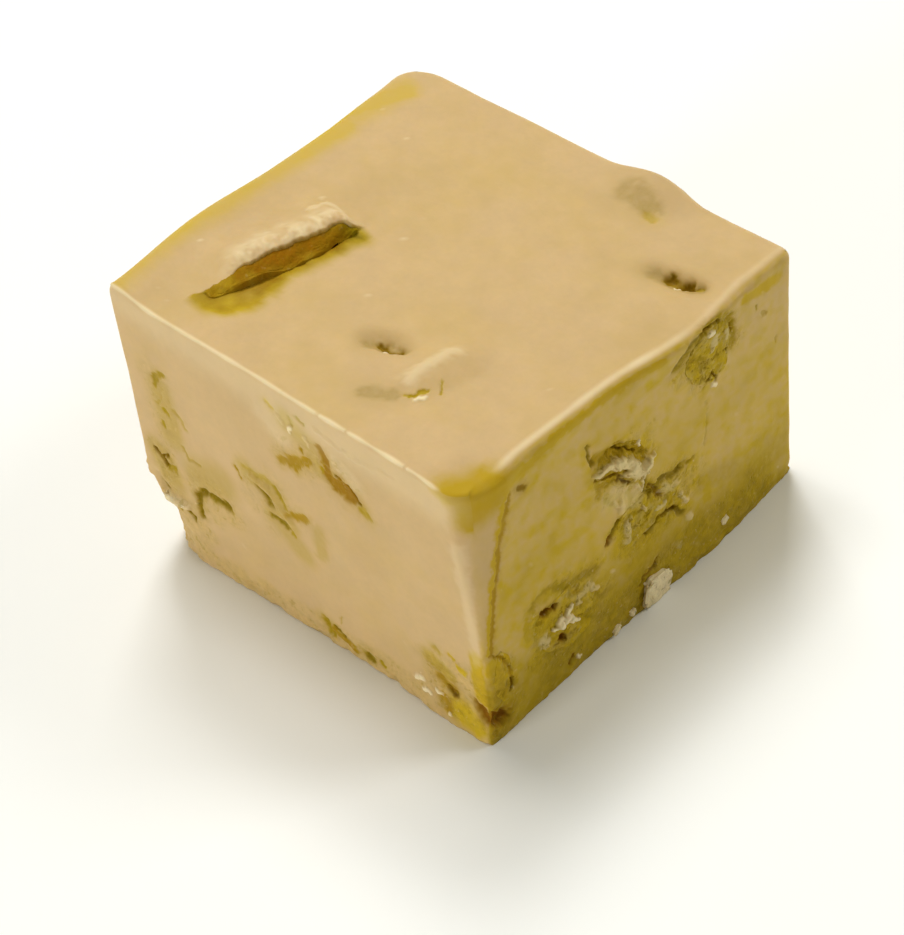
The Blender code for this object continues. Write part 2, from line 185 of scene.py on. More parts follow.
# Marks in the surface: side, tint, half width at the start and at the end, height (negative is a groove),
# softness of the edge from 0 to 1, and the places that the mark runs through, all in millimetres.
MARKS = {
    # Front cut: the cleft over the walnut below the chip.
    "cleft_left": ("front", "cleft", 0.58, 0.52, -0.36, 0.7, (-14.9, 9.8), (-15.1, 8.2), (-15.0, 7.1)),
    "cleft_join": ("front", "cleft", 0.44, 0.50, -0.20, 0.7, (-15.0, 9.7), (-14.0, 10.7)),
    "cleft_right": ("front", "cleft", 0.50, 0.58, -0.34, 0.7, (-14.1, 10.7), (-12.8, 10.7), (-11.4, 10.9), (-10.6, 10.7)),
    "cleft_tip": ("front", "crack", 0.50, 0.26, -0.14, 0.8, (-10.7, 10.7), (-10.0, 10.2)),
    "cleft_patch": ("front", "stain", 3.4, 3.0, 0.08, 1.0, (-14.0, 12.6), (-11.0, 13.6)),
    "slit": ("front", "dark", 0.40, 0.46, -0.52, 0.6, (-20.1, 12.7), (-19.4, 12.2), (-19.1, 11.6)),
    "slit_spur": ("front", "dark", 0.26, 0.16, -0.29, 0.7, (-19.3, 12.3), (-18.5, 12.8)),
    "slit_low": ("front", "crack", 0.40, 0.52, -0.20, 0.7, (-19.0, 11.3), (-18.1, 11.1)),
    "slit_patch": ("front", "stain", 2.6, 2.4, 0.05, 1.0, (-19.8, 12.6), (-18.4, 9.6)),
    "hook": ("front", "crack", 0.50, 0.36, -0.12, 0.7, (-18.3, 21.8), (-17.9, 22.8), (-17.1, 23.6), (-16.6, 23.7)),
    "fleck_a": ("front", "olive", 0.55, 0.42, -0.10, 0.9, (-17.7, 18.9), (-17.3, 18.7)),
    "fleck_b": ("front", "faint_olive", 0.50, 0.24, -0.10, 0.9, (-16.2, 19.6), (-15.2, 19.0), (-14.9, 17.8)),
    "fleck_c": ("front", "olive", 0.50, 0.36, -0.10, 0.9, (-18.3, 17.0), (-18.1, 16.6)),
    "fleck_e": ("front", "faint_olive", 0.36, 0.26, -0.10, 0.9, (-15.9, 15.2), (-15.2, 14.0), (-13.6, 14.4)),
    "fleck_d": ("front", "faint_olive", 0.40, 0.30, -0.10, 0.9, (-18.4, 19.4), (-17.6, 20.6)),
    "fleck_patch": ("front", "stain", 2.4, 2.2, 0.0, 1.0, (-17.6, 21.5), (-17.2, 15.5)),
    # Front cut: the long walnut in the middle, smeared over by the knife.
    "long_a": ("front", "nut_skin", 0.22, 0.17, -0.10, 0.8, (-8.2, 17.3), (-7.8, 16.0)),
    "long_b": ("front", "cleft", 0.36, 0.56, -0.30, 0.7, (-5.4, 16.5), (-4.5, 15.8), (-3.9, 14.8)),
    "long_c": ("front", "faint_olive", 0.60, 0.62, -0.11, 0.9, (-6.9, 18.1), (-5.2, 18.0), (-3.6, 18.0), (-2.8, 17.6)),
    "long_c_end": ("front", "crack", 0.55, 0.42, -0.13, 0.9, (-2.9, 17.6), (-2.3, 16.9), (-1.8, 15.9)),
    "long_d": ("front", "cleft", 0.42, 0.50, -0.20, 0.8, (-4.2, 13.3), (-3.2, 13.4), (-2.2, 13.1)),
    "long_e": ("front", "olive", 0.42, 0.35, -0.12, 1.0, (-1.6, 12.7), (-1.3, 12.5)),
    "bar_low": ("front", "nut_skin", 0.42, 0.60, -0.11, 0.6, (-1.7, 15.0), (-0.7, 15.2), (0.8, 15.9)),
    "long_fold": ("front", "plain", 0.7, 0.5, 0.22, 1.0, (-6.0, 17.2), (-4.0, 16.9), (-2.6, 15.4), (-1.6, 14.0)),
    "wedge_patch": ("front", "stain", 1.6, 1.4, 0.0, 1.0, (3.4, 24.4), (9.4, 22.2)),
    "top_patch": ("front", "stain", 2.2, 1.8, 0.05, 1.0, (0.6, 27.6), (3.4, 26.4)),
    "long_patch": ("front", "stain", 2.2, 1.8, 0.0, 1.0, (-6.4, 17.6), (-3.0, 16.6), (-1.6, 13.4)),
    "olive_a": ("front", "stain", 2.4, 2.0, 0.0, 1.0, (-3.4, 13.6), (-0.4, 10.6)),
    "olive_b": ("front", "stain", 1.2, 1.0, 0.0, 1.0, (2.4, 15.4), (2.2, 12.0)),
    # Front cut: brown skins near the middle of the top edge.
    "bar": ("front", "nut_skin", 0.62, 0.70, -0.10, 0.6, (-0.9, 22.2), (0.8, 23.0), (2.6, 24.0)),
    "bar_belly": ("front", "nut_skin", 0.80, 0.60, -0.10, 0.6, (1.0, 22.8), (0.8, 22.2)),
    "upright": ("front", "nut_brown", 0.60, 0.62, -0.11, 0.6, (4.8, 26.6), (5.2, 25.2), (5.2, 23.7)),
    "upright_spur": ("front", "olive", 0.36, 0.28, -0.10, 0.8, (4.5, 24.3), (4.4, 23.7)),
    "wedge": ("front", "nut_brown", 1.00, 1.20, -0.12, 0.5, (6.0, 23.3), (6.9, 23.1), (7.6, 22.9)),
    "wedge_tip": ("front", "nut_brown", 0.95, 0.45, -0.12, 0.5, (7.3, 23.0), (8.2, 22.6)),
    "wedge_edge": ("front", "dark", 0.22, 0.30, -0.29, 0.7, (6.4, 24.4), (7.4, 23.9), (8.8, 22.5)),
    "spot": ("front", "olive", 0.75, 0.60, -0.10, 0.7, (9.2, 21.9), (9.8, 21.4)),
    "fleck_top": ("front", "olive", 0.48, 0.36, -0.12, 0.9, (1.0, 28.2), (1.1, 27.7)),
    "rim_fleck_a": ("front", "gold", 0.40, 0.30, -0.10, 0.9, (-1.9, 28.5), (-1.1, 28.2)),
    "rim_fleck_b": ("front", "olive", 0.26, 0.20, -0.12, 0.9, (2.2, 28.9), (2.9, 28.5)),
    "rim_grain_a": ("front", "faint_cream", 0.36, 0.30, 0.12, 0.9, (-0.5, 27.6), (0.2, 27.2)),
    "rim_grain_b": ("front", "faint_cream", 0.34, 0.28, 0.12, 0.9, (2.7, 26.9), (3.2, 26.2)),
    "top_gold_wash": ("front", "warm", 1.3, 1.0, 0.0, 1.0, (0.4, 28.2), (2.4, 26.8)),
    "grains_top": ("front", "cream", 0.30, 0.24, 0.14, 0.7, (1.1, 27.1), (0.9, 26.6)),
    "fleck_mid": ("front", "nut_skin", 0.39, 0.25, -0.12, 0.9, (2.0, 25.2), (2.2, 24.8)),
    "pale_mid": ("front", "pale", 2.4, 2.0, 0.10, 1.0, (-2.6, 27.4), (-0.4, 25.6)),
    "pale_side": ("front", "pale", 1.6, 1.4, 0.10, 1.0, (6.6, 26.6), (8.8, 24.8)),
    "under_rim": ("front", "pale", 4.2, 4.2, 0.0, 1.0, (-21.0, 31.0), (-10.0, 30.6), (0.0, 29.6), (12.0, 29.6), (19.0, 29.6)),
    "second_lip": ("front", "pale", 0.45, 0.36, 0.10, 1.0, (4.5, 28.8), (7.4, 28.1), (10.2, 28.2), (14.0, 28.6)),
    # Front cut: the base edge and the low corner.
    "base_pit_a": ("front", "crack", 0.75, 0.60, -0.26, 0.7, (1.0, 2.8), (1.6, 1.4)),
    "base_nut": ("front", "nut_skin", 0.70, 0.50, 0.12, 0.7, (2.3, 2.2), (3.4, 1.7), (4.7, 1.4)),
    "base_nut_line": ("front", "cleft", 0.20, 0.14, -0.12, 0.8, (2.4, 3.0), (3.6, 2.2)),
    "base_pit_b": ("front", "cleft", 0.62, 0.50, -0.22, 0.7, (6.4, 1.5), (6.9, 1.2)),
    "base_pit_c": ("front", "olive", 0.45, 0.36, -0.12, 0.8, (8.2, 1.6), (8.5, 1.4)),
    "base_scratch": ("front", "faint_olive", 0.17, 0.14, -0.12, 0.8, (3.6, 4.9), (3.2, 3.8)),
    "corner_patch": ("front", "faint_olive", 1.5, 1.2, 0.00, 1.0, (15.2, 7.0), (17.6, 6.0)),
    "corner_wash": ("front", "gold", 3.0, 2.4, 0.00, 1.0, (18.6, 2.2), (20.6, 1.6)),
    "corner_bit_a": ("front", "faint_olive", 0.60, 0.45, -0.12, 0.9, (16.1, 8.8), (16.6, 8.4)),
    "chip_lump": ("front", "faint_cream", 0.60, 0.50, 0.36, 0.8, (-19.4, 7.0), (-18.2, 7.0), (-17.0, 7.0)),
    "chip_nib_a": ("front", "cleft", 0.36, 0.26, -0.24, 0.8, (-17.0, 6.2), (-16.3, 5.8)),
    "chip_nib_b": ("front", "cleft", 0.26, 0.30, -0.26, 0.8, (-20.4, 9.0), (-19.8, 8.1)),
    "chip_nib_c": ("front", "olive", 0.26, 0.22, -0.20, 0.8, (-18.9, 6.2), (-18.3, 6.0)),
    "corner_bit_b": ("front", "gold", 0.35, 0.30, -0.12, 0.8, (18.0, 8.9), (18.3, 8.7)),
    "corner_bit_c": ("front", "gold", 0.60, 0.55, 0.10, 0.7, (19.1, 8.1), (19.6, 7.9)),
    "corner_bit_d": ("front", "nut_skin", 0.80, 0.60, -0.16, 0.7, (16.1, 4.9), (17.4, 4.6), (18.3, 4.1)),
    "corner_bit_dark": ("front", "dark", 0.34, 0.26, -0.26, 0.8, (17.2, 4.4), (18.2, 3.9)),
    "corner_pit": ("front", "nut_skin", 0.95, 0.75, -0.24, 0.7, (16.9, 2.6), (17.2, 1.9)),
    "corner_grain_a": ("front", "cream", 0.42, 0.26, 0.22, 0.5, (13.3, 3.2), (14.0, 3.3)),
    "corner_grain_b": ("front", "cream", 0.34, 0.24, 0.18, 0.5, (14.4, 2.3), (14.9, 2.1)),
    "corner_grain_c": ("front", "cream", 0.26, 0.20, 0.18, 0.5, (15.8, 3.2), (16.3, 3.0)),
    "corner_grain_d": ("front", "cream", 0.20, 0.18, 0.16, 0.5, (17.2, 1.2), (17.4, 1.1)),
    # A pale band painted down the rounded near corner: a painted highlight where it turns to the light.
    "seam_highlight": ("front", "pale", 1.2, 1.0, 0.0, 1.0, (20.9, 24.0), (21.3, 18.0), (21.6, 11.0)),
    # The near corner's mustard patch: painted shade where the slumped top corner and the facet below it turn away from
    # the light.
    "mustard_shade_right": ("right", "mustard", 5.0, 4.4, 0.0, 0.9, (-22.6, 29.8), (-18.8, 30.4)),
    "mustard_shade_spread": ("right", "gold", 2.6, 1.8, 0.0, 1.0, (-22.0, 30.0), (-15.0, 29.6)),
    "mustard_shade_front": ("front", "mustard", 3.2, 2.0, 0.0, 0.9, (22.8, 31.4), (22.4, 27.6)),
    "mustard_shade_rim": ("front", "mustard", 1.9, 2.2, 0.0, 0.9, (20.0, 31.6), (22.4, 30.6)),
    # Near corner: the seam, painted dark as the shade that the knife's lip casts, and the hole under the walnut.
    # seam and seam_low: brown painted shade along a shallow groove.
    "seam": ("right", "nut_skin", 0.46, 0.40, -0.12, 0.9, (-16.6, 28.2), (-18.2, 23.7), (-19.3, 19.5)),
    "seam_low": ("right", "nut_skin", 0.38, 0.42, -0.12, 0.9, (-19.3, 19.6), (-20.1, 16.4), (-21.0, 11.6)),
    "seam_gold": ("right", "amber", 0.80, 0.65, 0.03, 0.9, (-16.9, 28.6), (-18.5, 23.7), (-19.6, 19.5), (-20.6, 15.0), (-21.3, 11.6)),
    "seam_dot": ("right", "dark", 0.55, 0.48, -0.12, 0.8, (-15.2, 27.9), (-14.8, 27.4)),
    "corner_hole": ("right", "hole", 1.00, 0.90, -0.95, 0.5, (-21.6, 3.3), (-20.3, 2.5)),
    "corner_hole_tail": ("front", "hole", 0.45, 0.90, -0.60, 0.6, (20.6, 4.6), (22.0, 3.4)),
    "corner_hole_low": ("right", "crack", 0.35, 0.28, -0.16, 0.8, (-21.7, 1.7), (-21.4, 1.5)),
    "corner_split": ("right", "olive", 0.14, 0.12, -0.12, 0.8, (-20.9, 0.9), (-20.8, 0.1)),
    "corner_gold_front": ("front", "amber", 1.2, 1.3, 0.12, 0.9, (21.6, 11.0), (21.4, 8.0), (21.6, 5.8)),
    "corner_arc": ("right", "nut_skin", 0.26, 0.30, -0.18, 0.8, (-21.4, 11.3), (-20.1, 10.3), (-19.1, 7.9), (-18.9, 6.1)),
    "corner_arc_end": ("right", "dark", 0.26, 0.20, -0.26, 0.8, (-18.9, 6.2), (-19.3, 4.9)),
    "corner_inner": ("right", "amber", 1.3, 1.1, 0.20, 0.8, (-21.2, 10.0), (-20.6, 7.6), (-20.8, 5.6)),
    # Right cut: the walnut under the rim.
    "upper_arc_a": ("right", "crack", 1.00, 1.00, -0.12, 0.9, (5.3, 27.7), (6.1, 28.9), (7.4, 29.7), (8.8, 30.1)),
    "upper_arc_dark": ("right", "cleft", 0.50, 0.60, -0.10, 1.0, (5.0, 27.6), (6.0, 29.1), (7.3, 30.0), (8.8, 30.4)),
    "upper_arc_b": ("right", "crack", 1.00, 1.05, -0.15, 0.9, (8.6, 30.2), (10.0, 30.4), (11.4, 29.9), (12.5, 29.0)),
    "upper_arc_deep": ("right", "cleft", 0.40, 0.45, -0.15, 0.9, (8.6, 30.1), (10.0, 30.3), (11.2, 29.8)),
    "upper_arc_c": ("right", "crack", 0.62, 0.50, -0.18, 0.9, (12.5, 29.0), (13.2, 27.6), (13.3, 26.2), (12.9, 24.8)),
    "upper_pit_a": ("right", "dark", 0.34, 0.26, -0.39, 0.8, (8.6, 29.9), (9.4, 30.1)),
    "upper_pit_b": ("right", "dark", 0.24, 0.20, -0.33, 0.8, (10.8, 30.0), (11.1, 29.8)),
    "upper_pit_c": ("right", "dark", 0.22, 0.18, -0.25, 0.8, (12.9, 27.6), (13.2, 26.8)),
    "upper_pit_d": ("right", "cleft", 0.26, 0.20, -0.20, 0.8, (11.8, 25.2), (12.4, 24.9)),
    "upper_grain": ("right", "cream", 0.50, 0.40, 0.20, 0.7, (9.8, 29.2), (10.3, 28.9)),
    "upper_pale_a": ("right", "faint_cream", 0.80, 0.60, 0.10, 0.9, (10.6, 27.6), (10.4, 26.2)),
    "upper_pale_b": ("right", "faint_cream", 0.50, 0.40, 0.10, 0.9, (12.2, 27.6), (12.2, 26.6)),
    "upper_wedge": ("right", "crack", 0.9, 1.0, -0.10, 1.0, (7.2, 27.4), (8.2, 26.6), (9.2, 25.2)),
    "upper_foot": ("right", "moss", 0.55, 0.45, -0.10, 0.8, (9.4, 23.8), (10.8, 23.4)),
    "upper_leg_a": ("right", "dark", 0.20, 0.24, -0.39, 0.8, (10.1, 23.3), (9.5, 22.4)),
    "upper_leg_b": ("right", "dark", 0.20, 0.22, -0.36, 0.8, (10.2, 23.2), (10.7, 22.1)),
    "upper_foot_pale": ("right", "cream", 0.36, 0.28, 0.14, 0.8, (10.3, 21.8), (10.7, 21.2)),
    "right_fleck_a": ("right", "olive", 0.20, 0.14, -0.11, 0.8, (16.5, 27.5), (16.5, 26.9)),
    "right_fleck_b": ("right", "faint_olive", 0.30, 0.20, -0.12, 0.9, (17.4, 25.8), (17.9, 25.2)),
    "right_fleck_c": ("right", "faint_olive", 0.34, 0.24, -0.10, 1.0, (19.3, 21.1), (19.4, 20.5)),
    "right_fleck_d": ("right", "faint_olive", 0.28, 0.24, -0.10, 1.0, (4.9, 26.2), (5.0, 25.7)),
    "right_dots": ("right", "faint_olive", 0.12, 0.12, -0.10, 0.9, (9.4, 19.9), (9.1, 16.9), (8.7, 14.4)),
    # Right cut: the pale walnut, a torn ribbon of flesh between two hollows.
    "pale_hollow_rim": ("right", "cleft", 0.26, 0.34, -0.20, 0.8, (-6.7, 26.4), (-6.8, 25.0), (-6.3, 23.6)),
    "pale_hollow_a": ("right", "hollow", 1.00, 1.05, -0.35, 0.9, (-5.9, 23.9), (-4.6, 23.9), (-3.3, 23.4)),
    "pale_hollow_b": ("right", "hollow", 0.85, 0.50, -0.24, 0.9, (-3.5, 23.5), (-2.0, 22.6), (-0.4, 21.0), (0.6, 19.9)),
    "pale_hollow_line": ("right", "cleft", 0.16, 0.20, -0.30, 0.8, (-3.4, 23.6), (-2.0, 22.7), (-0.7, 21.3)),
    "pale_speck": ("right", "cream", 0.24, 0.20, 0.20, 0.5, (-0.5, 22.3), (-0.3, 21.7)),
    "ribbon_tail": ("right", "ribbon", 0.18, 0.60, 0.40, 0.5, (-6.4, 22.4), (-4.9, 22.3), (-3.4, 22.1)),
    "ribbon_bend": ("right", "ribbon", 0.70, 0.80, 0.42, 0.6, (-3.5, 22.0), (-2.4, 21.1), (-1.4, 19.9)),
    "ribbon_block": ("right", "ribbon", 1.10, 1.15, 0.42, 0.6, (-1.6, 19.7), (-0.5, 18.8), (0.1, 18.5)),
    "ribbon_horn": ("right", "ribbon", 0.42, 0.30, 0.42, 0.5, (0.2, 18.9), (1.5, 19.1)),
    "ribbon_stalk": ("right", "ribbon", 0.26, 0.14, 0.25, 0.5, (0.4, 17.8), (-0.1, 16.2), (-0.3, 15.6)),
    "pale_low_a": ("right", "dark", 0.18, 0.24, -0.32, 0.8, (-6.2, 21.7), (-4.9, 21.1), (-3.7, 20.7), (-2.8, 19.2), (-1.8, 17.9)),
    "pale_low_b": ("right", "hollow", 0.90, 0.60, -0.12, 0.9, (-5.2, 20.4), (-3.6, 20.0), (-2.4, 18.7)),
    "pale_low_c": ("right", "olive", 0.60, 0.50, -0.16, 0.9, (-6.0, 21.2), (-6.0, 19.4)),
    # Right cut: the rough walnut with its dark crevices.
    "rough_groove": ("right", "cleft", 0.60, 0.46, -0.26, 0.8, (2.2, 15.0), (3.7, 14.6), (5.0, 14.3)),
    "between_wash": ("right", "pale", 2.4, 2.0, 0.0, 1.0, (-3.8, 17.6), (-1.6, 15.6)),
    "between_moss_a": ("right", "moss", 0.55, 0.40, -0.10, 0.8, (-4.9, 18.6), (-4.6, 17.2)),
    "between_moss_b": ("right", "moss", 0.50, 0.45, -0.10, 0.8, (-1.9, 17.0), (-1.6, 15.6), (-2.1, 14.2)),
    "between_grain_a": ("right", "faint_cream", 0.36, 0.30, 0.18, 0.8, (-3.9, 16.9), (-3.4, 16.1)),
    "between_grain_b": ("right", "faint_cream", 0.30, 0.26, 0.16, 0.8, (-0.9, 16.8), (-0.5, 15.9)),
    "between_grain_c": ("right", "faint_cream", 0.30, 0.30, 0.16, 0.8, (-0.5, 13.9), (0.1, 12.9)),
    "rough_groove_up": ("right", "crack", 0.42, 0.36, -0.18, 0.8, (5.0, 14.4), (6.3, 14.2), (7.2, 14.1)),
    "rough_cluster_a": ("right", "cleft", 0.50, 0.50, -0.30, 0.9, (0.4, 16.6), (0.1, 15.4), (0.8, 14.3)),
    "rough_cluster_b": ("right", "dark", 0.34, 0.34, -0.34, 0.8, (0.9, 15.4), (1.6, 14.4), (2.2, 13.1)),
    "rough_slit_a": ("right", "dark", 0.30, 0.36, -0.39, 0.8, (2.2, 10.2), (3.1, 10.3), (4.1, 9.6)),
    "rough_slit_b": ("right", "cleft", 0.46, 0.50, -0.24, 0.8, (4.1, 9.6), (5.1, 8.2)),
    "rough_slit_c": ("right", "cleft", 0.50, 0.56, -0.24, 0.8, (1.6, 10.2), (0.8, 9.8), (0.1, 9.4)),
    "rough_dot": ("right", "dark", 0.24, 0.20, -0.33, 0.8, (-0.2, 9.5), (0.0, 9.3)),
    "rough_left": ("right", "cleft", 0.36, 0.40, -0.20, 0.8, (-3.6, 14.1), (-4.1, 13.6), (-4.8, 13.0)),
    "rough_left_hole": ("right", "hole", 0.34, 0.30, -0.48, 0.6, (-4.8, 13.0), (-5.1, 12.4)),
    "rough_pale_a": ("right", "faint_cream", 0.50, 0.42, 0.28, 0.7, (-2.9, 16.4), (-3.0, 15.2)),
    "rough_pale_b": ("right", "faint_cream", 0.70, 0.62, 0.28, 0.8, (-2.5, 12.8), (-2.6, 10.8)),
    "rough_pale_c": ("right", "faint_cream", 0.36, 0.30, 0.16, 0.9, (1.6, 11.9), (2.8, 11.5)),
    "rough_pale_d": ("right", "faint_cream", 0.45, 0.40, 0.16, 0.9, (5.0, 10.8), (5.8, 9.4)),
    "rough_pale_e": ("right", "pale", 0.80, 0.70, 0.10, 0.9, (2.6, 13.6), (4.4, 12.9)),
    "rough_crumb": ("right", "faint_cream", 0.50, 0.45, 0.22, 0.7, (6.0, 7.0), (6.3, 6.5)),
    # Right cut: the low walnut, with two holes and pale chips.
    "low_arc": ("right", "moss", 1.10, 1.20, -0.10, 0.9, (-16.1, 12.0), (-15.2, 12.8), (-13.5, 12.9), (-12.0, 12.4)),
    "low_arc_dark": ("right", "crack", 0.40, 0.50, -0.10, 0.9, (-15.6, 12.5), (-14.4, 13.2), (-13.2, 13.2), (-12.2, 12.8)),
    "low_arc_end": ("right", "crack", 0.90, 0.90, -0.10, 0.9, (-12.0, 12.3), (-10.2, 11.4), (-8.6, 11.0), (-7.0, 10.6)),
    "low_side": ("right", "moss", 0.70, 0.60, -0.05, 0.9, (-16.4, 11.0), (-16.4, 9.2)),
    "low_moss_a": ("right", "moss", 0.80, 0.60, -0.06, 0.9, (-9.8, 6.6), (-8.6, 5.4)),
    "low_moss_b": ("right", "crack", 0.60, 0.50, -0.08, 0.9, (-7.2, 7.4), (-6.4, 6.2)),
    "low_moss_c": ("right", "crack", 0.50, 0.50, -0.08, 0.9, (-14.6, 5.4), (-13.4, 5.0)),
    "low_gold": ("right", "gold", 0.40, 0.35, 0.05, 0.9, (-15.4, 11.4), (-15.2, 10.8)),
    "low_gold_b": ("right", "hollow", 0.36, 0.30, -0.06, 0.9, (-10.2, 10.2), (-9.4, 9.9)),
    "low_hole_a": ("right", "hole", 0.34, 0.46, -0.64, 0.5, (-14.4, 11.0), (-13.5, 10.5), (-12.9, 10.6)),
    "low_hole_b": ("right", "hole", 0.50, 0.46, -0.72, 0.4, (-12.2, 5.9), (-11.8, 5.5)),
    "low_chip": ("right", "cream", 0.75, 0.55, 0.35, 0.4, (-12.2, 8.1), (-11.2, 7.7)),
    "low_chip_up": ("right", "cream", 0.40, 0.16, 0.35, 0.4, (-11.5, 8.2), (-10.8, 9.3)),
    "low_chip_side": ("right", "cream", 0.34, 0.14, 0.30, 0.4, (-11.0, 7.5), (-9.9, 6.4)),
    "low_chip_left": ("right", "cream", 0.40, 0.16, 0.30, 0.5, (-12.4, 7.9), (-13.4, 7.9)),
    "low_chip_b": ("right", "faint_cream", 0.42, 0.36, 0.20, 0.7, (-9.9, 8.6), (-9.2, 8.2)),
    "low_chip_c": ("right", "faint_cream", 0.45, 0.34, 0.20, 0.7, (-7.9, 9.0), (-7.1, 8.2)),
    "low_chip_link": ("right", "pale", 0.50, 0.50, 0.10, 0.8, (-9.6, 9.0), (-8.0, 9.4)),
    "low_wash": ("right", "faint_cream", 0.8, 0.6, 0.10, 0.9, (-14.6, 7.6), (-14.3, 6.8)),
    "low_fill": ("right", "moss", 3.0, 2.6, 0.0, 1.0, (-14.6, 9.6), (-9.6, 7.4)),
    "low_bit": ("right", "hole", 0.22, 0.26, -0.28, 0.6, (-11.4, 1.6), (-11.0, 2.2)),
    "low_bit_pale": ("right", "cream", 0.30, 0.26, 0.15, 0.7, (-10.4, 1.7), (-10.0, 1.5)),
    "flake_shade": ("right", "dark", 0.28, 0.22, -0.26, 0.8, (-1.3, 3.4), (-0.7, 4.3), (0.9, 4.2), (1.3, 4.8)),
    # Right cut: golden band under the rim, and the golden foot.
    "band_a": ("right", "amber", 1.15, 1.00, 0.00, 1.0, (-14.6, 29.4), (-10.5, 30.2), (-5.0, 30.4)),
    "band_b": ("right", "amber", 1.10, 0.90, 0.00, 1.0, (-5.0, 30.4), (0.4, 30.2), (3.4, 30.2)),
    "band_c": ("right", "amber", 1.1, 1.4, 0.00, 1.0, (15.0, 29.4), (19.5, 28.8)),
    "far_foot_gold": ("right", "moss", 2.4, 2.0, 0.0, 1.0, (13.0, 5.6), (20.4, 6.0)),
    "foot_wash": ("right", "faint_olive", 2.4, 2.2, 0.0, 1.0, (8.5, 9.6), (12.5, 8.0)),
    "rough_wash": ("right", "faint_olive", 2.6, 2.2, 0.0, 1.0, (-1.6, 12.6), (3.4, 9.6)),
    "upper_wash": ("right", "faint_olive", 3.4, 3.0, 0.0, 1.0, (7.4, 28.0), (11.6, 27.6)),
    # Top: pits darkened with painted shade, the lump with its two slivers, a painted highlight on its crest and painted
    # shade below it, the spots, and painted shade beside the back bump.
    "front_pit_shade": ("top", "shade", 1.3, 0.8, -0.22, 1.0, (1.9, -12.0), (3.6, -11.2), (5.2, -10.9)),
    "front_pit_a": ("top", "dark", 0.36, 0.30, -0.25, 0.8, (2.5, -11.2), (3.5, -11.2), (4.6, -11.1)),
    "front_pit_b": ("top", "olive", 0.22, 0.18, -0.10, 0.8, (4.3, -11.2), (4.7, -11.3)),
    "front_pit_grain": ("top", "cream", 0.20, 0.16, 0.15, 0.6, (3.6, -11.6), (3.8, -11.6)),
    "right_pit_shade": ("top", "shade", 1.4, 0.9, -0.25, 1.0, (15.2, 11.6), (17.0, 12.0), (19.2, 12.7)),
    "right_pit_a": ("top", "dark", 0.50, 0.44, -0.35, 0.8, (16.4, 12.2), (17.4, 12.2), (18.4, 12.5)),
    "right_pit_b": ("top", "crack", 0.24, 0.16, -0.12, 0.8, (17.9, 12.1), (19.2, 12.8)),
    "right_pit_grain": ("top", "cream", 0.20, 0.18, 0.15, 0.6, (17.4, 11.7), (17.6, 11.8)),
    # A pale crest painted along the lump: a painted highlight where it catches the light.
    "lump_crest_highlight": ("top", "faint_cream", 1.1, 0.9, 0.12, 1.0, (8.6, -13.8), (9.0, -11.0), (9.4, -8.6)),
    "lump_shade": ("top", "shade", 1.5, 1.1, -0.08, 1.0, (6.4, -17.0), (8.6, -15.8)),
    "ridge_hook": ("top", "faint_cream", 0.55, 0.40, 0.15, 0.9, (-14.3, -2.6), (-13.8, -0.5), (-12.4, -0.6), (-11.0, -1.3), (-10.0, -1.7)),
    "lump_sliver_a": ("top", "olive", 0.26, 0.20, -0.12, 0.8, (9.4, -15.2), (10.1, -14.6), (10.6, -13.6)),
    "lump_sliver_b": ("top", "olive", 0.18, 0.15, -0.10, 0.8, (11.2, -12.4), (11.8, -13.2)),
    "lump_chip": ("top", "cream", 0.40, 0.34, 0.12, 0.8, (10.4, -15.0), (11.0, -14.4)),
    "back_spot": ("top", "faint_olive", 0.9, 0.75, -0.12, 1.0, (9.8, 17.2), (10.6, 17.0)),
    "back_shade": ("top", "shade", 2.4, 2.0, -0.12, 1.0, (6.6, 18.6), (9.4, 18.0)),
    # The left rim's golden band, up to the back corner: a painted glow of light shining through the thin rim.
    "rim_painted_glow_a": ("top", "honey", 3.3, 3.1, 0.0, 1.0, (-22.4, -21.0), (-22.4, -13.0), (-21.6, -7.6)),
    "rim_painted_glow_b": ("top", "honey", 3.1, 2.5, 0.0, 1.0, (-21.6, -7.6), (-21.8, -2.8), (-21.4, 2.6), (-20.8, 9.4)),
    "back_painted_glow": ("top", "warm", 3.0, 2.6, 0.0, 1.0, (-21.4, 11.0), (-19.8, 17.6)),
    "back_painted_glow_core": ("top", "honey", 2.4, 2.0, 0.0, 1.0, (-21.8, 12.0), (-20.6, 15.0), (-19.4, 17.4)),
    "back_painted_glow_b": ("top", "gold", 1.9, 1.4, 0.0, 1.0, (-22.6, 6.0), (-22.2, 12.0)),
    # Painted shade on the slumped near corner of the top.
    "mustard": ("top", "mustard", 4.2, 3.6, 0.0, 0.85, (21.8, -22.2), (22.9, -18.6)),
}
GRAINS = {
    "top_grains": ("top", 46, 11),
    "front_grains": ("front", 40, 12),
    "right_grains": ("right", 34, 13),
}

# The walnut ridge on the top, along its own line: a skin of fudge that rises to a torn lip over a hollow.
RIDGE_PLACE = (-12.9, -8.6)
RIDGE_TURN = 76.0
LIP_HEIGHT = 1.55
LIP_OVERHANG = 0.35
HOLLOW_DEPTH = 0.34
HOLLOW_DIP = 0.18
SKIN_RUN = 5.6

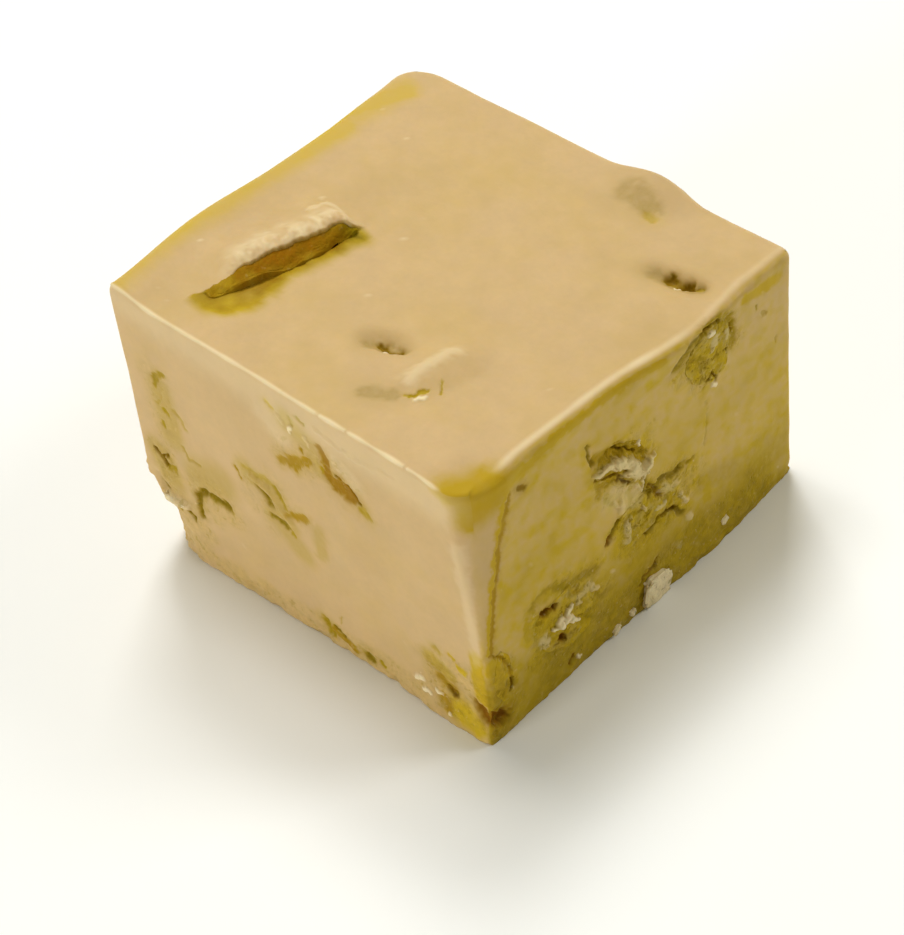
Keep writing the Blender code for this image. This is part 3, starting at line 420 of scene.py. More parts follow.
# Crumbly places: side, middle, half sizes and how crumbly.
CRUMBLY_PATCHES = {
    "foot": ("right", (3.0, 2.6), (19.0, 3.6), 0.8),
    "low": ("right", (-11.0, 7.5), (6.4, 6.2), 0.8),
    "rough": ("right", (1.5, 12.0), (6.8, 4.8), 0.9),
    "pale": ("right", (-2.4, 20.4), (5.0, 4.6), 0.5),
    "upper": ("right", (9.6, 26.2), (4.8, 5.0), 0.6),
    "corner": ("right", (-20.0, 4.5), (2.6, 6.5), 0.6),
    "corner_front": ("front", (18.6, 4.6), (5.6, 4.8), 0.6),
    "front_foot": ("front", (2.0, 1.4), (22.0, 1.9), 0.45),
    "chip": ("front", (-18.5, 4.2), (5.0, 5.4), 0.55),
    "cleft": ("front", (-13.0, 10.5), (4.4, 3.4), 0.4),
    "slit": ("front", (-19.0, 11.6), (2.4, 3.0), 0.5),
    "long": ("front", (-4.4, 16.0), (4.4, 4.4), 0.3),
    "edge": ("front", (-18.0, 19.0), (2.6, 6.5), 0.3),
    "bar": ("front", (1.5, 23.6), (3.6, 2.6), 0.3),
    "brown": ("front", (6.4, 24.4), (3.4, 2.4), 0.4),
}
CRUMB_HEIGHT = 0.09 * MM
GRAIN_PALENESS = 0.45
SEAM_FOOT = -24.0 * MM
SEAM_LEAN = 0.26
# How much of the right cut's painted shade the facet by the near corner loses.
FACET_LESS_SHADE = 0.72
BURR_END = 18.6 * MM

NUT_LOOKS = {
    "walnut_ridge": ("hollow", 0.16),
    "walnut_upper": ("moss", 0.18),
    "walnut_pale": ("hollow", 0.16),
    "walnut_rough": ("moss", 0.30),
    "walnut_low": ("light_moss", 0.20),
    "walnut_corner": ("amber", 0.14),
    "walnut_cleft": ("olive", 0.16),
    "walnut_long": ("olive", 0.16),
    "walnut_brown": ("nut_skin", 0.12),
    "walnut_base": ("olive", 0.14),
}
BURIED = {"walnut_cleft": 0.32, "walnut_long": 0.30, "walnut_brown": 0.22, "walnut_base": 0.26}

CHIPS = {
    "base_flake": ((22.8, 1.0, 1.6), (0.6, 2.3, 1.6), (4.0, 0.0, -14.0), 61),
    "base_crumb_a": ((22.7, -2.6, 1.2), (0.35, 0.42, 0.34), (10.0, 0.0, 20.0), 62),
    "base_crumb_b": ((22.6, -5.0, 0.8), (0.40, 0.62, 0.32), (0.0, 0.0, 30.0), 63),
    "base_crumb_c": ((22.95, 11.3, 2.4), (0.35, 0.55, 0.4), (0.0, 0.0, 20.0), 64),
    "chip_crumb_a": ((-19.0, -21.7, 7.0), (1.0, 0.45, 0.5), (0.0, 20.0, 15.0), 65),
    "chip_crumb_b": ((-17.5, -21.7, 7.1), (0.7, 0.4, 0.4), (10.0, 0.0, 30.0), 66),
}


class FudgeSizes(bpy.types.PropertyGroup):
    """Sizes and colours of the block."""

    cells: IntProperty(name="Cells", description="Cells along the block's longest side before refining", default=60, min=20)
    burr_height: FloatProperty(
        name="Burr height",
        description="How far the knife's burr stands up along the front rim",
        default=0.12 * MM,
        unit="LENGTH",
    )
    burr_width: FloatProperty(
        name="Burr width", description="Half width of the burr", default=0.24 * MM, unit="LENGTH"
    )
    grain_size: FloatProperty(
        name="Grain size", description="Half width of the sugar grains", default=0.15 * MM, unit="LENGTH"
    )
    drag_height: FloatProperty(
        name="Drag height", description="Height of the marks that the knife dragged", default=0.035 * MM, unit="LENGTH"
    )
    glow: FloatProperty(
        name="Glow", description="How much light travels inside the fudge", default=0.18, min=0.0, max=1.0, subtype="FACTOR"
    )
    fudge_colour: FloatVectorProperty(
        name="Fudge", description="Colour of the fudge", default=(0.635, 0.440, 0.213, 1.0), size=4, subtype="COLOR"
    )
    # Gold is also painted shade on the right cut and the near corner, and a painted glow along the left rim.
    gold_colour: FloatVectorProperty(
        name="Gold", description="Colour where oil has come out", default=(0.610, 0.415, 0.018, 1.0), size=4, subtype="COLOR"
    )
    # Olive is also painted shade in the top's pits, beside the lump and the back bump, and on the right cut.
    olive_colour: FloatVectorProperty(
        name="Olive", description="Colour of bruised walnut", default=(0.250, 0.168, 0.003, 1.0), size=4, subtype="COLOR"
    )
    brown_colour: FloatVectorProperty(
        name="Brown", description="Colour of walnut skin in a hole", default=(0.300, 0.125, 0.002, 1.0), size=4, subtype="COLOR"
    )
    # Cream is also the painted highlight along the front and right rims and on the lump's crest.
    cream_colour: FloatVectorProperty(
        name="Cream", description="Colour of burrs and grains", default=(0.900, 0.760, 0.480, 1.0), size=4, subtype="COLOR"
    )


class WalnutSizes(bpy.types.PropertyGroup):
    """Sizes and colours of the walnut pieces."""

    detail: IntProperty(name="Detail", description="Subdivisions of each piece's ball", default=7, min=3, max=8)
    crumble: FloatProperty(
        name="Crumble", description="Height of the broken flesh's roughness", default=0.10 * MM, unit="LENGTH"
    )
    flesh_colour: FloatVectorProperty(
        name="Flesh", description="Colour of broken walnut flesh", default=(0.560, 0.430, 0.160, 1.0), size=4, subtype="COLOR"
    )


class StageSizes(bpy.types.PropertyGroup):
    """Floor, lights and camera."""

    floor_size: FloatProperty(name="Floor", description="Side of the floor", default=3.0, unit="LENGTH")
    floor_colour: FloatVectorProperty(
        name="Floor colour", description="Colour of the floor", default=(0.972, 0.980, 0.962, 1.0), size=4, subtype="COLOR"
    )
    sky_strength: FloatProperty(name="Sky", description="Strength of the light from all round", default=0.25)
    overhead_power: FloatProperty(
        name="Overhead", description="Power of the light above and to the left", default=6.2, unit="POWER"
    )
    back_power: FloatProperty(name="Back", description="Power of the light behind on the left", default=7.7, unit="POWER")
    far_power: FloatProperty(name="Far", description="Power of the light behind on the right", default=3.8, unit="POWER")
    front_power: FloatProperty(name="Front", description="Power of the low light on the front cut", default=6.9, unit="POWER")
    light_size: FloatProperty(name="Light size", description="Side of each square light", default=0.40, unit="LENGTH")
    light_distance: FloatProperty(name="Light distance", description="From each light to the block", default=1.4, unit="LENGTH")
    camera_place: FloatVectorProperty(
        name="Camera", description="Place of the camera", default=(0.15019, -0.14479, 0.20956), subtype="TRANSLATION"
    )
    camera_azimuth: FloatProperty(
        name="Azimuth", description="Turn of the camera about the upright", default=math.radians(46.45), unit="ROTATION"
    )
    camera_elevation: FloatProperty(
        name="Elevation", description="Height of the camera's view", default=math.radians(44.4), unit="ROTATION"
    )
    camera_roll: FloatProperty(
        name="Roll", description="Turn of the camera about its own line", default=math.radians(7.23), unit="ROTATION"
    )
    camera_lens: FloatProperty(name="Lens", description="Focal length in millimetres on a 36 mm frame", default=114.33)


def smooth_step(value):
    """0 below 0, 1 above 1, and an S-shaped curve between them."""
    value = np.clip(value, 0.0, 1.0)
    return value * value * (3.0 - 2.0 * value)


def bell(distance):
    """1 in the middle and 0 from a distance of 2 on, in a smooth bell."""
    return 1.0 - smooth_step(np.abs(distance) / 2.0)


def noise_at(places, length, seed=0.0):
    """Smooth noise, about -1 to 1, at each place, with waves of a length."""
    return np.array([noise.noise(place) for place in (places / length + seed).tolist()])


def round_upright_edges(plain):
    """Moves places of the plain box in towards the ellipse of the nearest upright edge."""
    moved = plain.copy()
    sign = np.where(plain[:, :2] >= 0, 1.0, -1.0)
    for corner, (low, high, low_height, high_height) in UPRIGHT_EDGES.items():
        here = (sign == corner).all(axis=1)
        share = smooth_step((plain[here, 2] - low_height) / (high_height - low_height))[:, None]
        reach = np.array(low) + (np.array(high) - low) * share
        inner = np.array((HALF_WIDTH, HALF_DEPTH)) - reach
        out = np.maximum(0.0, np.abs(plain[here, :2]) - inner) / reach
        length = np.maximum(np.hypot(out[:, 0], out[:, 1]), 1e-9)
        scale = np.where((out > 0.0).all(axis=1), out.max(axis=1) / length, 1.0)[:, None]
        rounded = sign[here] * (inner + reach * out * scale)
        moved[here, :2] = np.where((out > 0.0).all(axis=1)[:, None], rounded, plain[here, :2])
    return moved


def rim_radius(plain):
    """The radius of the top rim nearest to each place, blended round the corners."""
    radii = (FRONT_RIM, BACK_RIM, RIGHT_RIM, LEFT_RIM)
    weights = (
        (HALF_DEPTH - plain[:, 1]) / BLOCK_DEPTH,
        (HALF_DEPTH + plain[:, 1]) / BLOCK_DEPTH,
        (HALF_WIDTH + plain[:, 0]) / BLOCK_WIDTH,
        (HALF_WIDTH - plain[:, 0]) / BLOCK_WIDTH,
    )
    weights = [np.clip(weight, 0.0, 1.0) ** RIM_BLEND for weight in weights]
    return sum(radius * weight for radius, weight in zip(radii, weights)) / sum(weights)


def round_rim(points, plain):
    """Moves places near the top or the base rim onto the rim's quarter circle."""
    side_gap = np.minimum(HALF_WIDTH - np.abs(plain[:, 0]), HALF_DEPTH - np.abs(plain[:, 1]))
    near_top = plain[:, 2] > BLOCK_HEIGHT / 2
    radius = np.where(near_top, rim_radius(plain), BASE_RIM)
    level_gap = np.where(near_top, BLOCK_HEIGHT - plain[:, 2], plain[:, 2])
    rounded = (side_gap < radius) & (level_gap < radius)
    across = radius - side_gap
    upwards = radius - level_gap
    length = np.maximum(np.hypot(across, upwards), 1e-9)
    inset = np.where(rounded, radius - radius * across / length - side_gap, 0.0)
    drop = np.where(rounded, radius - radius * upwards / length - level_gap, 0.0)
    inward = -points[:, :2] / np.maximum(np.linalg.norm(points[:, :2], axis=1), 1e-9)[:, None]
    straight_x = HALF_WIDTH - np.abs(plain[:, 0]) < HALF_DEPTH - np.abs(plain[:, 1])
    in_x = np.where(straight_x, np.copysign(1.0, -points[:, 0]), inward[:, 0] * RIM_SLANT)
    in_y = np.where(straight_x, inward[:, 1] * RIM_SLANT, np.copysign(1.0, -points[:, 1]))
    slant = np.hypot(in_x, in_y)
    moved = points.copy()
    moved[:, 0] += in_x / slant * inset
    moved[:, 1] += in_y / slant * inset
    moved[:, 2] += np.where(near_top, -drop, drop)
    return moved


def top_relief(points):
    """The height of the poured top's mounds, hollows and slow waves at each place."""
    flat = points * (1.0, 1.0, 0.0)
    height = TOP_WAVE_HEIGHT * noise_at(flat, TOP_WAVE_LENGTH)
    for (middle_x, middle_y), length, width, turn, rise in TOP_RELIEF.values():
        angle = math.radians(turn)
        x = points[:, 0] - middle_x
        y = points[:, 1] - middle_y
        along = x * math.cos(angle) + y * math.sin(angle)
        across = y * math.cos(angle) - x * math.sin(angle)
        height += rise * bell(np.hypot(along / length, across / width) * RELIEF_STEEPNESS)
    return height


def swell(swells, along, up):
    """How far a cut side stands out at places along it and up it."""
    wave = np.stack((along, up, np.full(len(along), HALF_WIDTH * len(swells))), axis=1)
    out = CUT_WAVE_HEIGHT * noise_at(wave, CUT_WAVE_LENGTH)
    for (middle, level), (half_length, half_height), distance in swells.values():
        away = np.hypot((along - middle) / half_length, (up - level) / half_height)
        out += distance * bell(away * RELIEF_STEEPNESS)
    return out


def raise_relief(points):
    """Adds the top's relief and the sides' swellings to places of the rounded block."""
    x, y, z = points.T
    top_share = smooth_step((z - (BLOCK_HEIGHT - RELIEF_DEPTH)) / RELIEF_DEPTH)
    side_x = smooth_step((np.abs(x) / HALF_WIDTH - SIDE_START) / (1.0 - SIDE_START))
    side_y = smooth_step((np.abs(y) / HALF_DEPTH - SIDE_START) / (1.0 - SIDE_START))
    out_x = np.where(x > 0, swell(RIGHT_SWELLS, y, z), swell(LEFT_SWELLS, y, z))
    out_y = np.where(y > 0, swell(BACK_SWELLS, x, z), swell(FRONT_SWELLS, x, z))
    moved = points.copy()
    moved[:, 0] += np.copysign(out_x * side_x, x)
    moved[:, 1] += np.copysign(out_y * side_y, y)
    moved[:, 2] += top_relief(points) * top_share
    return moved


def move_corners(points):
    """Carries places with the block's eight corners, each by its own share."""
    across = (points[:, 0] + HALF_WIDTH) / BLOCK_WIDTH
    along = (points[:, 1] + HALF_DEPTH) / BLOCK_DEPTH
    up = (points[:, 2] / BLOCK_HEIGHT)[:, None]
    moved = points + CENTRING_SHIFT
    for (sign_x, sign_y), top in TOP_SHIFT.items():
        share = (across if sign_x > 0 else 1.0 - across) * (along if sign_y > 0 else 1.0 - along)
        base = np.array(BASE_SHIFT[(sign_x, sign_y)])
        moved += share[:, None] * (up * np.array(top) + (1.0 - up) * base)
    return moved


def shape(plain):
    """The places on the finished block of places of the plain box."""
    return move_corners(raise_relief(round_rim(round_upright_edges(plain), plain)))


def on_side(side, along, up):
    """Places of the plain box's side, from how far along it and up it they lie."""
    along, up = np.broadcast_arrays(along, up)
    if side == "top":
        return np.stack((along, up, np.full(along.shape, BLOCK_HEIGHT)), axis=-1)
    if side == "right":
        return np.stack((np.full(along.shape, HALF_WIDTH), along, up), axis=-1)
    return np.stack((along, np.full(along.shape, -HALF_DEPTH), up), axis=-1)


def side_places(side, plain):
    """How far along a side and up it places of the plain box lie, and how far in from the side."""
    if side == "top":
        return plain[:, [0, 1]], BLOCK_HEIGHT - plain[:, 2]
    if side == "right":
        return plain[:, [1, 2]], HALF_WIDTH - plain[:, 0]
    return plain[:, [0, 2]], plain[:, 1] + HALF_DEPTH


def line_cover(places, line, start_width, end_width):
    """How near each place lies to a line: 1 on it and 0 from its half width on; negative beyond."""
    best = np.full(len(places), -1e3)
    steps = len(line) - 1
    for step, (start, end) in enumerate(zip(line, line[1:])):
        run = end - start
        along = np.clip(((places - start) @ run) / max(run @ run, 1e-12), 0.0, 1.0)
        gap = np.linalg.norm(places - start - along[:, None] * run, axis=1)
        width = start_width + (end_width - start_width) * (step + along) / steps
        best = np.maximum(best, 1.0 - gap / width)
    return best


def mark_parts(mark):
    """A mark's side, tint, half widths, height, softness and line, in metres."""
    side, tint, start_width, end_width, height, softness, *line = mark
    return side, np.array(TINTS[tint]), start_width * MM, end_width * MM, height * MM, softness, np.array(line) * MM


MARK_WOBBLE = 0.30 * MM
MARK_REACH = 3.0
WASH_WIDTH = 1.25 * MM
MARK_RAGGED = 0.50
STAIN_WIDTH = 2.4
STAIN_SHARE = 0.34
EDGE_TOLERANCE = 0.25 * MM
NUT_LEVEL = 0.03 * MM


def draw_marks(side, places, near):
    """The height and the tints that the marks of a side give to places along it and up it, by how near they lie to the side."""
    height = np.zeros(len(places))
    tints = np.zeros((len(places), 4))
    flat = np.concatenate((places, np.zeros((len(places), 1))), axis=1)
    wobble = np.stack((noise_at(flat, 1.1 * MM, 3.0), noise_at(flat, 1.1 * MM, 47.0)), axis=1)
    wobble += 0.6 * np.stack((noise_at(flat, 0.4 * MM, 9.0), noise_at(flat, 0.4 * MM, 71.0)), axis=1)
    ragged = 1.1 + MARK_RAGGED * (noise_at(flat, 0.8 * MM, 13.0) + 0.7 * noise_at(flat, 0.35 * MM, 17.0))
    ragged = np.clip(ragged, 0.4, 1.9)
    broken = 0.6 + 0.4 * smooth_step((noise_at(flat, 0.9 * MM, 27.0) + 0.50) / 0.4)
    for mark in MARKS.values():
        mark_side, tint, start_width, end_width, rise, softness, line = mark_parts(mark)
        if mark_side != side:
            continue
        width = max(start_width, end_width)
        low = line.min(axis=0) - width * MARK_REACH
        high = line.max(axis=0) + width * MARK_REACH
        here = ((places > low) & (places < high)).all(axis=1)
        if not here.any():
            continue
        moved = places[here] + wobble[here] * MARK_WOBBLE
        gap = (1.0 - line_cover(moved, line, start_width, end_width)) / (ragged[here] if width < WASH_WIDTH else 1.1)
        cover = smooth_step((1.0 - gap) / softness) * near[here]
        if rise < 0.0 and tint[2] < 0.9:
            cover *= broken[here]
        height[here] += rise * cover
        if tint[3] > 0.5:
            tints[here, :3] = tints[here, :3] * (1.0 - cover[:, None]) + tint[:3] * cover[:, None]
            tints[here, 3] = np.maximum(tints[here, 3], tint[3] * cover)
            continue
        stain = smooth_step(1.0 - gap / STAIN_WIDTH) * near[here] if rise < 0.0 else 0.0 * cover
        share = np.maximum(np.minimum(cover * 1.4, 1.0), STAIN_SHARE * stain)
        tints[here] = np.maximum(tints[here], tint * share[:, None])
    return height, tints


def scatter_grains(side, places, size):
    """Small sugar grains strewn over a side, as a height and a share of cream."""
    height = np.zeros(len(places))
    cream = np.zeros(len(places))
    for grain_side, count, seed in GRAINS.values():
        if grain_side != side:
            continue
        random = np.random.default_rng(seed)
        spread = np.array(((-20.5, -20.5), (21.0, 20.5))) if side == "top" else np.array(((-20.0, 1.0), (21.0, 29.0)))
        for middle in random.uniform(*(spread * MM), (count, 2)):
            half = size * random.uniform(0.6, 1.3)
            gap = np.linalg.norm(places - middle, axis=1)
            here = gap < half
            cover = smooth_step(1.0 - gap[here] / half)
            height[here] += 0.6 * half * cover
            cream[here] = np.maximum(cream[here], cover)
    return height, cream


def ridge_lines(places):
    """Places on the top along and across the ridge, with the lip's line, its height and the hollow's width there."""
    angle = math.radians(RIDGE_TURN)
    offset = places / MM - RIDGE_PLACE
    along = offset @ (math.cos(angle), math.sin(angle))
    across = offset @ (-math.sin(angle), math.cos(angle))
    line = np.stack((along, np.zeros(len(along)), np.zeros(len(along))), axis=1)
    ripple = noise_at(line, 1.7, 5.0)
    fine = noise_at(line, 0.6, 15.0)
    lip = -0.20 - 0.50 * smooth_step((along - 1.0) / 4.5) + 0.40 * ripple + 0.20 * fine
    lip -= 0.9 * smooth_step((along - 6.2) / 1.8)
    rise = LIP_HEIGHT * smooth_step((along + 7.2) / 4.4) * (1.0 - smooth_step((along - 6.6) / 2.4))
    rise *= 1.0 + 0.10 * ripple
    reach = 1.6 + 2.7 * bell((along + 6.0) / 3.2) + 1.1 * bell((along - 1.0) / 4.0)
    return along, across, lip, rise, reach


def nut_plan(along, across):
    """How far out each place lies from the middle of the ridge's walnut, as a share of its half sizes in plan."""
    half_length, half_width, _ = WALNUTS["walnut_ridge"][2]
    return np.hypot(along / half_length, across / half_width)


def raise_ridge(places):
    """The ridge's height, its sideways lean, and how far each place lies in the hollow and behind the lip."""
    along, across, lip, rise, reach = ridge_lines(places)
    flat = np.concatenate((places, np.zeros((len(places), 1))), axis=1)
    behind = across - lip
    torn = 0.30 * noise_at(flat, 1.1 * MM, 19.0) + 0.15 * noise_at(flat, 0.4 * MM, 29.0)
    skin = rise * (1.0 - smooth_step((behind - 0.8) / SKIN_RUN)) * (0.80 + 0.20 * smooth_step(behind / 0.8))
    skin += 0.10 * crumbs_at(flat) * np.clip(rise, 0.0, 1.0) * bell((behind - 1.0) / 1.3)
    cliff = smooth_step((behind + 0.10) / 0.22)
    ends = smooth_step((along + 10.0) / 2.2) * (1.0 - smooth_step((along - 7.2) / 1.2))
    inside = smooth_step((behind + reach + torn) / 0.9) * ends
    drop = inside * (HOLLOW_DIP + (HOLLOW_DEPTH - HOLLOW_DIP) * smooth_step((0.96 - nut_plan(along, across)) / 0.12))
    height = skin * cliff - drop * (1.0 - cliff)
    lean = LIP_OVERHANG * np.where(behind > -0.1, bell((behind - 0.1) / 0.6), -0.8 * bell((behind + 0.35) / 0.25))
    lean *= np.clip(rise / LIP_HEIGHT, 0.0, 1.0) * (1.0 - smooth_step((along - 4.5) / 1.5))
    return height * MM, lean * MM, inside * (1.0 - cliff), behind, rise


def ridge_tints(places, inside, behind, rise):
    """The tints of the ridge: a pale lip, partly a painted highlight on its crest, and a golden-brown hollow with olive
    fringes, darker under the lip with painted shade.
    """
    flat = np.concatenate((places, np.zeros((len(places), 1))), axis=1)
    mottle = noise_at(flat, 1.3 * MM, 21.0)
    fine = noise_at(flat, 0.5 * MM, 25.0)
    along, across, lip, rise, reach = ridge_lines(places)
    ends = smooth_step((along + 11.0) / 2.4) * (1.0 - smooth_step((along - 7.4) / 1.6))
    hidden = smooth_step((behind + 0.07) / 0.22)
    depth = behind + reach + 0.35 * mottle + 0.15 * fine
    spread = smooth_step((depth + 1.7) / 2.6) * ends * (1.0 - hidden)
    core = smooth_step((depth + 0.8) / 1.8) * smooth_step((along + 10.8) / 2.6) * (1.0 - smooth_step((along - 5.6) / 2.0)) * (1.0 - hidden)
    tints = np.zeros((len(places), 4))
    tints[:, 0] = np.clip(1.5 * spread, 0.0, 1.0)
    # Olive and brown grow just under the lip: painted shade that the lip casts into the hollow, over the walnut's own
    # brown.
    tints[:, 1] = spread * np.clip(0.72 - 0.34 * bell((along + 7.6) / 3.0) + 0.25 * mottle + 0.20 * bell((along - 6.6) / 1.6) + 0.25 * bell((behind + 0.6) / 1.0), 0.0, 1.0)
    tints[:, 2] = core * np.clip(0.46 + 0.52 * bell((behind + 0.5) / 1.2) * bell((along + 1.0) / 4.5) - 0.24 * bell((along + 7.0) / 2.8) + 0.22 * mottle + 0.15 * fine, 0.0, 1.0)
    # The pale band behind the lip: the fudge skin's paler colour, partly a painted highlight on the crest.
    strength = rise / LIP_HEIGHT
    pale = strength * bell((behind - 1.1) / 1.1) * smooth_step((behind - 0.10) / 0.25)
    tints[:, 3] = np.clip(pale * (0.34 + 0.40 * mottle + 0.40 * fine), 0.0, 1.0)
    return tints


def front_burr_and_highlight(plain, sizes):
    """The knife's burr along the front rim, as a height and a share of cream that is the burr's pale colour and partly
    a painted highlight along the rim.
    """
    gap = np.hypot(plain[:, 1] + HALF_DEPTH, plain[:, 2] - BLOCK_HEIGHT)
    line = plain * (1.0, 0.0, 0.0)
    ripple = noise_at(line, 2.6 * MM, 31.0)
    nick = smooth_step((noise_at(line, 0.9 * MM, 37.0) - 0.35) / 0.2)
    width = sizes.burr_width * (1.0 + 0.35 * ripple)
    cover = smooth_step(1.0 - gap / (2.0 * width)) * (1.0 - 0.7 * nick)
    cover *= 1.0 - smooth_step((plain[:, 0] - BURR_END) / (1.5 * MM))
    return sizes.burr_height * cover * (1.0 + 0.5 * ripple), np.clip(1.25 * cover, 0.0, 1.0) * (0.85 + 0.3 * ripple)


def right_rim_highlight(plain):
    """The softer pale rim of the right cut, a painted highlight along its edge, as a share of cream."""
    gap = np.hypot(plain[:, 0] - HALF_WIDTH + 0.9 * MM, plain[:, 2] - BLOCK_HEIGHT)
    line = plain * (0.0, 1.0, 0.0)
    ripple = noise_at(line, 3.4 * MM, 41.0)
    start = smooth_step((plain[:, 1] + HALF_DEPTH - 4.2 * MM) / (2.5 * MM))
    fade = 0.62 - 0.34 * smooth_step((plain[:, 1] + 2.0 * MM) / (14.0 * MM))
    return smooth_step(1.0 - gap / ((0.60 + 0.20 * ripple) * MM)) * (fade + 0.3 * ripple) * start


def base_wear(plain):
    """The crumbly lower edge: how far each place is eaten in near the base."""
    near_base = bell(plain[:, 2] / (1.4 * MM))
    ragged = smooth_step((noise_at(plain, 1.8 * MM, 53.0) + 0.05) / 0.6) + 0.4 * noise_at(plain, 0.6 * MM, 59.0)
    return -0.32 * MM * near_base * ragged


def chip_wear(plain):
    """The broken lower left corner: ragged facets where the upright edge is chipped away."""
    gap = np.hypot((plain[:, 0] + HALF_WIDTH) / 1.5, (plain[:, 1] + HALF_DEPTH) / 1.2)
    share = bell(gap / (3.2 * MM)) * (1.0 - smooth_step((plain[:, 2] - 9.0 * MM) / (3.0 * MM)))
    lumps = noise_at(plain, 2.2 * MM, 61.0) + 0.5 * noise_at(plain, 0.8 * MM, 67.0)
    return 0.5 * MM * share * lumps


def nut_frame(side, along, up):
    """A place on the finished block's side, as a matrix: X along the side, Y up it and Z straight out of it."""
    step = 0.5 * MM
    steps = np.array(((0.0, 0.0), (step, 0.0), (-step, 0.0), (0.0, step), (0.0, -step))) + (along, up)
    places = [Vector(place) for place in shape(on_side(side, steps[:, 0], steps[:, 1]))]
    run = (places[1] - places[2]).normalized()
    out = run.cross(places[3] - places[4]).normalized()
    frame_matrix = Matrix((run, out.cross(run), out)).transposed().to_4x4()
    frame_matrix.translation = places[0]
    return frame_matrix


def ball_radius(directions, seed):
    """How far a walnut piece's lumps and folds reach in each direction, as a share of its half sizes."""
    shift = np.array((seed, 2.0 * seed, 0.5 * seed))
    lumps = LUMP_HEIGHT * noise_at(directions * LUMP_COUNT + shift, 1.0)
    wander = FOLD_WANDER * noise_at(directions + shift, 1.0)
    return 1.0 + lumps - FOLD_DEPTH * np.abs(np.sin(FOLD_COUNT * directions[:, 0] + wander))


def nut_cover(name, plain):
    """How far inside a walnut piece's outline places of its side lie: positive inside, in metres."""
    side, (along, up), half_sizes, turn, depth, proud, seed = WALNUTS[name]
    places, inward = side_places(side, plain)
    cover = np.full(len(plain), -1.0)
    here = (inward < EDGE_TOLERANCE) & (np.linalg.norm(places - np.array((along, up)) * MM, axis=1) < 1.4 * max(half_sizes) * MM)
    if not here.any():
        return cover
    place = nut_frame(side, along * MM, up * MM)
    level = place @ Matrix.Translation((0.0, 0.0, -depth * MM)) @ Matrix.Rotation(math.radians(turn), 4, "Z")
    back = np.array(level.inverted())
    local = shape(plain[here]) @ back[:3, :3].T + back[:3, 3]
    local[:, 2] = NUT_LEVEL + depth * MM
    unit = local / (np.array(half_sizes) * MM)
    unit[:, 1] -= BEND * (1.0 - 2.0 * unit[:, 0] ** 2)
    length = np.linalg.norm(unit, axis=1)
    radius = ball_radius(unit / np.maximum(length, 1e-9)[:, None], seed)
    cover[here] = (radius - length) * min(half_sizes[:2]) * MM
    return cover


def wanted_cell(plain, sizes):
    """The cell size that the block's surface needs at each place."""
    visible = (plain[:, 2] > BLOCK_HEIGHT - MM * 0.01) | (plain[:, 0] > HALF_WIDTH - MM * 0.01)
    visible |= plain[:, 1] < -HALF_DEPTH + MM * 0.01
    wanted = np.where(visible, 0.42 * MM, 1.2 * MM)
    wanted = np.where(plain[:, 2] < MM * 0.01, 2.0 * MM, wanted)
    front_gap = np.hypot(plain[:, 1] + HALF_DEPTH, plain[:, 2] - BLOCK_HEIGHT)
    right_gap = np.hypot(plain[:, 0] - HALF_WIDTH, plain[:, 2] - BLOCK_HEIGHT)
    corner_gap = np.hypot(plain[:, 0] - HALF_WIDTH, plain[:, 1] + HALF_DEPTH)
    wanted = np.where(visible & (np.minimum(front_gap, right_gap) < 1.3 * MM), 0.2 * MM, wanted)
    wanted = np.where(visible & (corner_gap < 0.8 * MM), 0.2 * MM, wanted)
    wanted = np.where(visible & (plain[:, 2] < 1.6 * MM), 0.24 * MM, wanted)
    for side in ("top", "front", "right"):
        places, inward = side_places(side, plain)
        for mark in MARKS.values():
            mark_side, tint, start_width, end_width, rise, softness, line = mark_parts(mark)
            width = max(start_width, end_width)
            if mark_side != side or width > 1.1 * MM:
                continue
            here = (inward < 0.01 * MM) & ((places > line.min(axis=0) - 2 * width) & (places < line.max(axis=0) + 2 * width)).all(axis=1)
            near = line_cover(places[here], line, width, width) > -0.6
            cell = max(0.095 * MM, 0.36 * width)
            wanted[here] = np.where(near, np.minimum(wanted[here], cell), wanted[here])
        if side == "top":
            here = inward < 0.01 * MM
            along, across, lip, rise, reach = ridge_lines(places[here])
            near = (np.abs(across - lip) < 0.9) & (np.abs(along) < 9.5)
            wanted[here] = np.where(near, 0.13 * MM, wanted[here])
    for name in WALNUTS:
        if name not in BURIED and name != "walnut_ridge":
            cover = nut_cover(name, plain)
            wanted = np.where(np.abs(cover) < 0.4 * MM, np.minimum(wanted, 0.15 * MM), wanted)
    return wanted


def edges_along(bm, axis):
    """The edges of a box that run along one axis."""
    return [edge for edge in bm.edges if abs((edge.verts[0].co - edge.verts[1].co).normalized()[axis]) > 0.9]


def crowd(value):
    """Moves grid lines, from -1 to 1, towards the nearer end."""
    return (1.0 - EDGE_CROWDING) * value + EDGE_CROWDING * np.sin(value * math.pi / 2)


def places_of(bm):
    """The places of a bmesh's vertices, as an array."""
    return np.array([vert.co[:] for vert in bm.verts])


def put_places(bm, places):
    """Moves a bmesh's vertices to an array of places."""
    for vert, place in zip(bm.verts, places.tolist()):
        vert.co = place


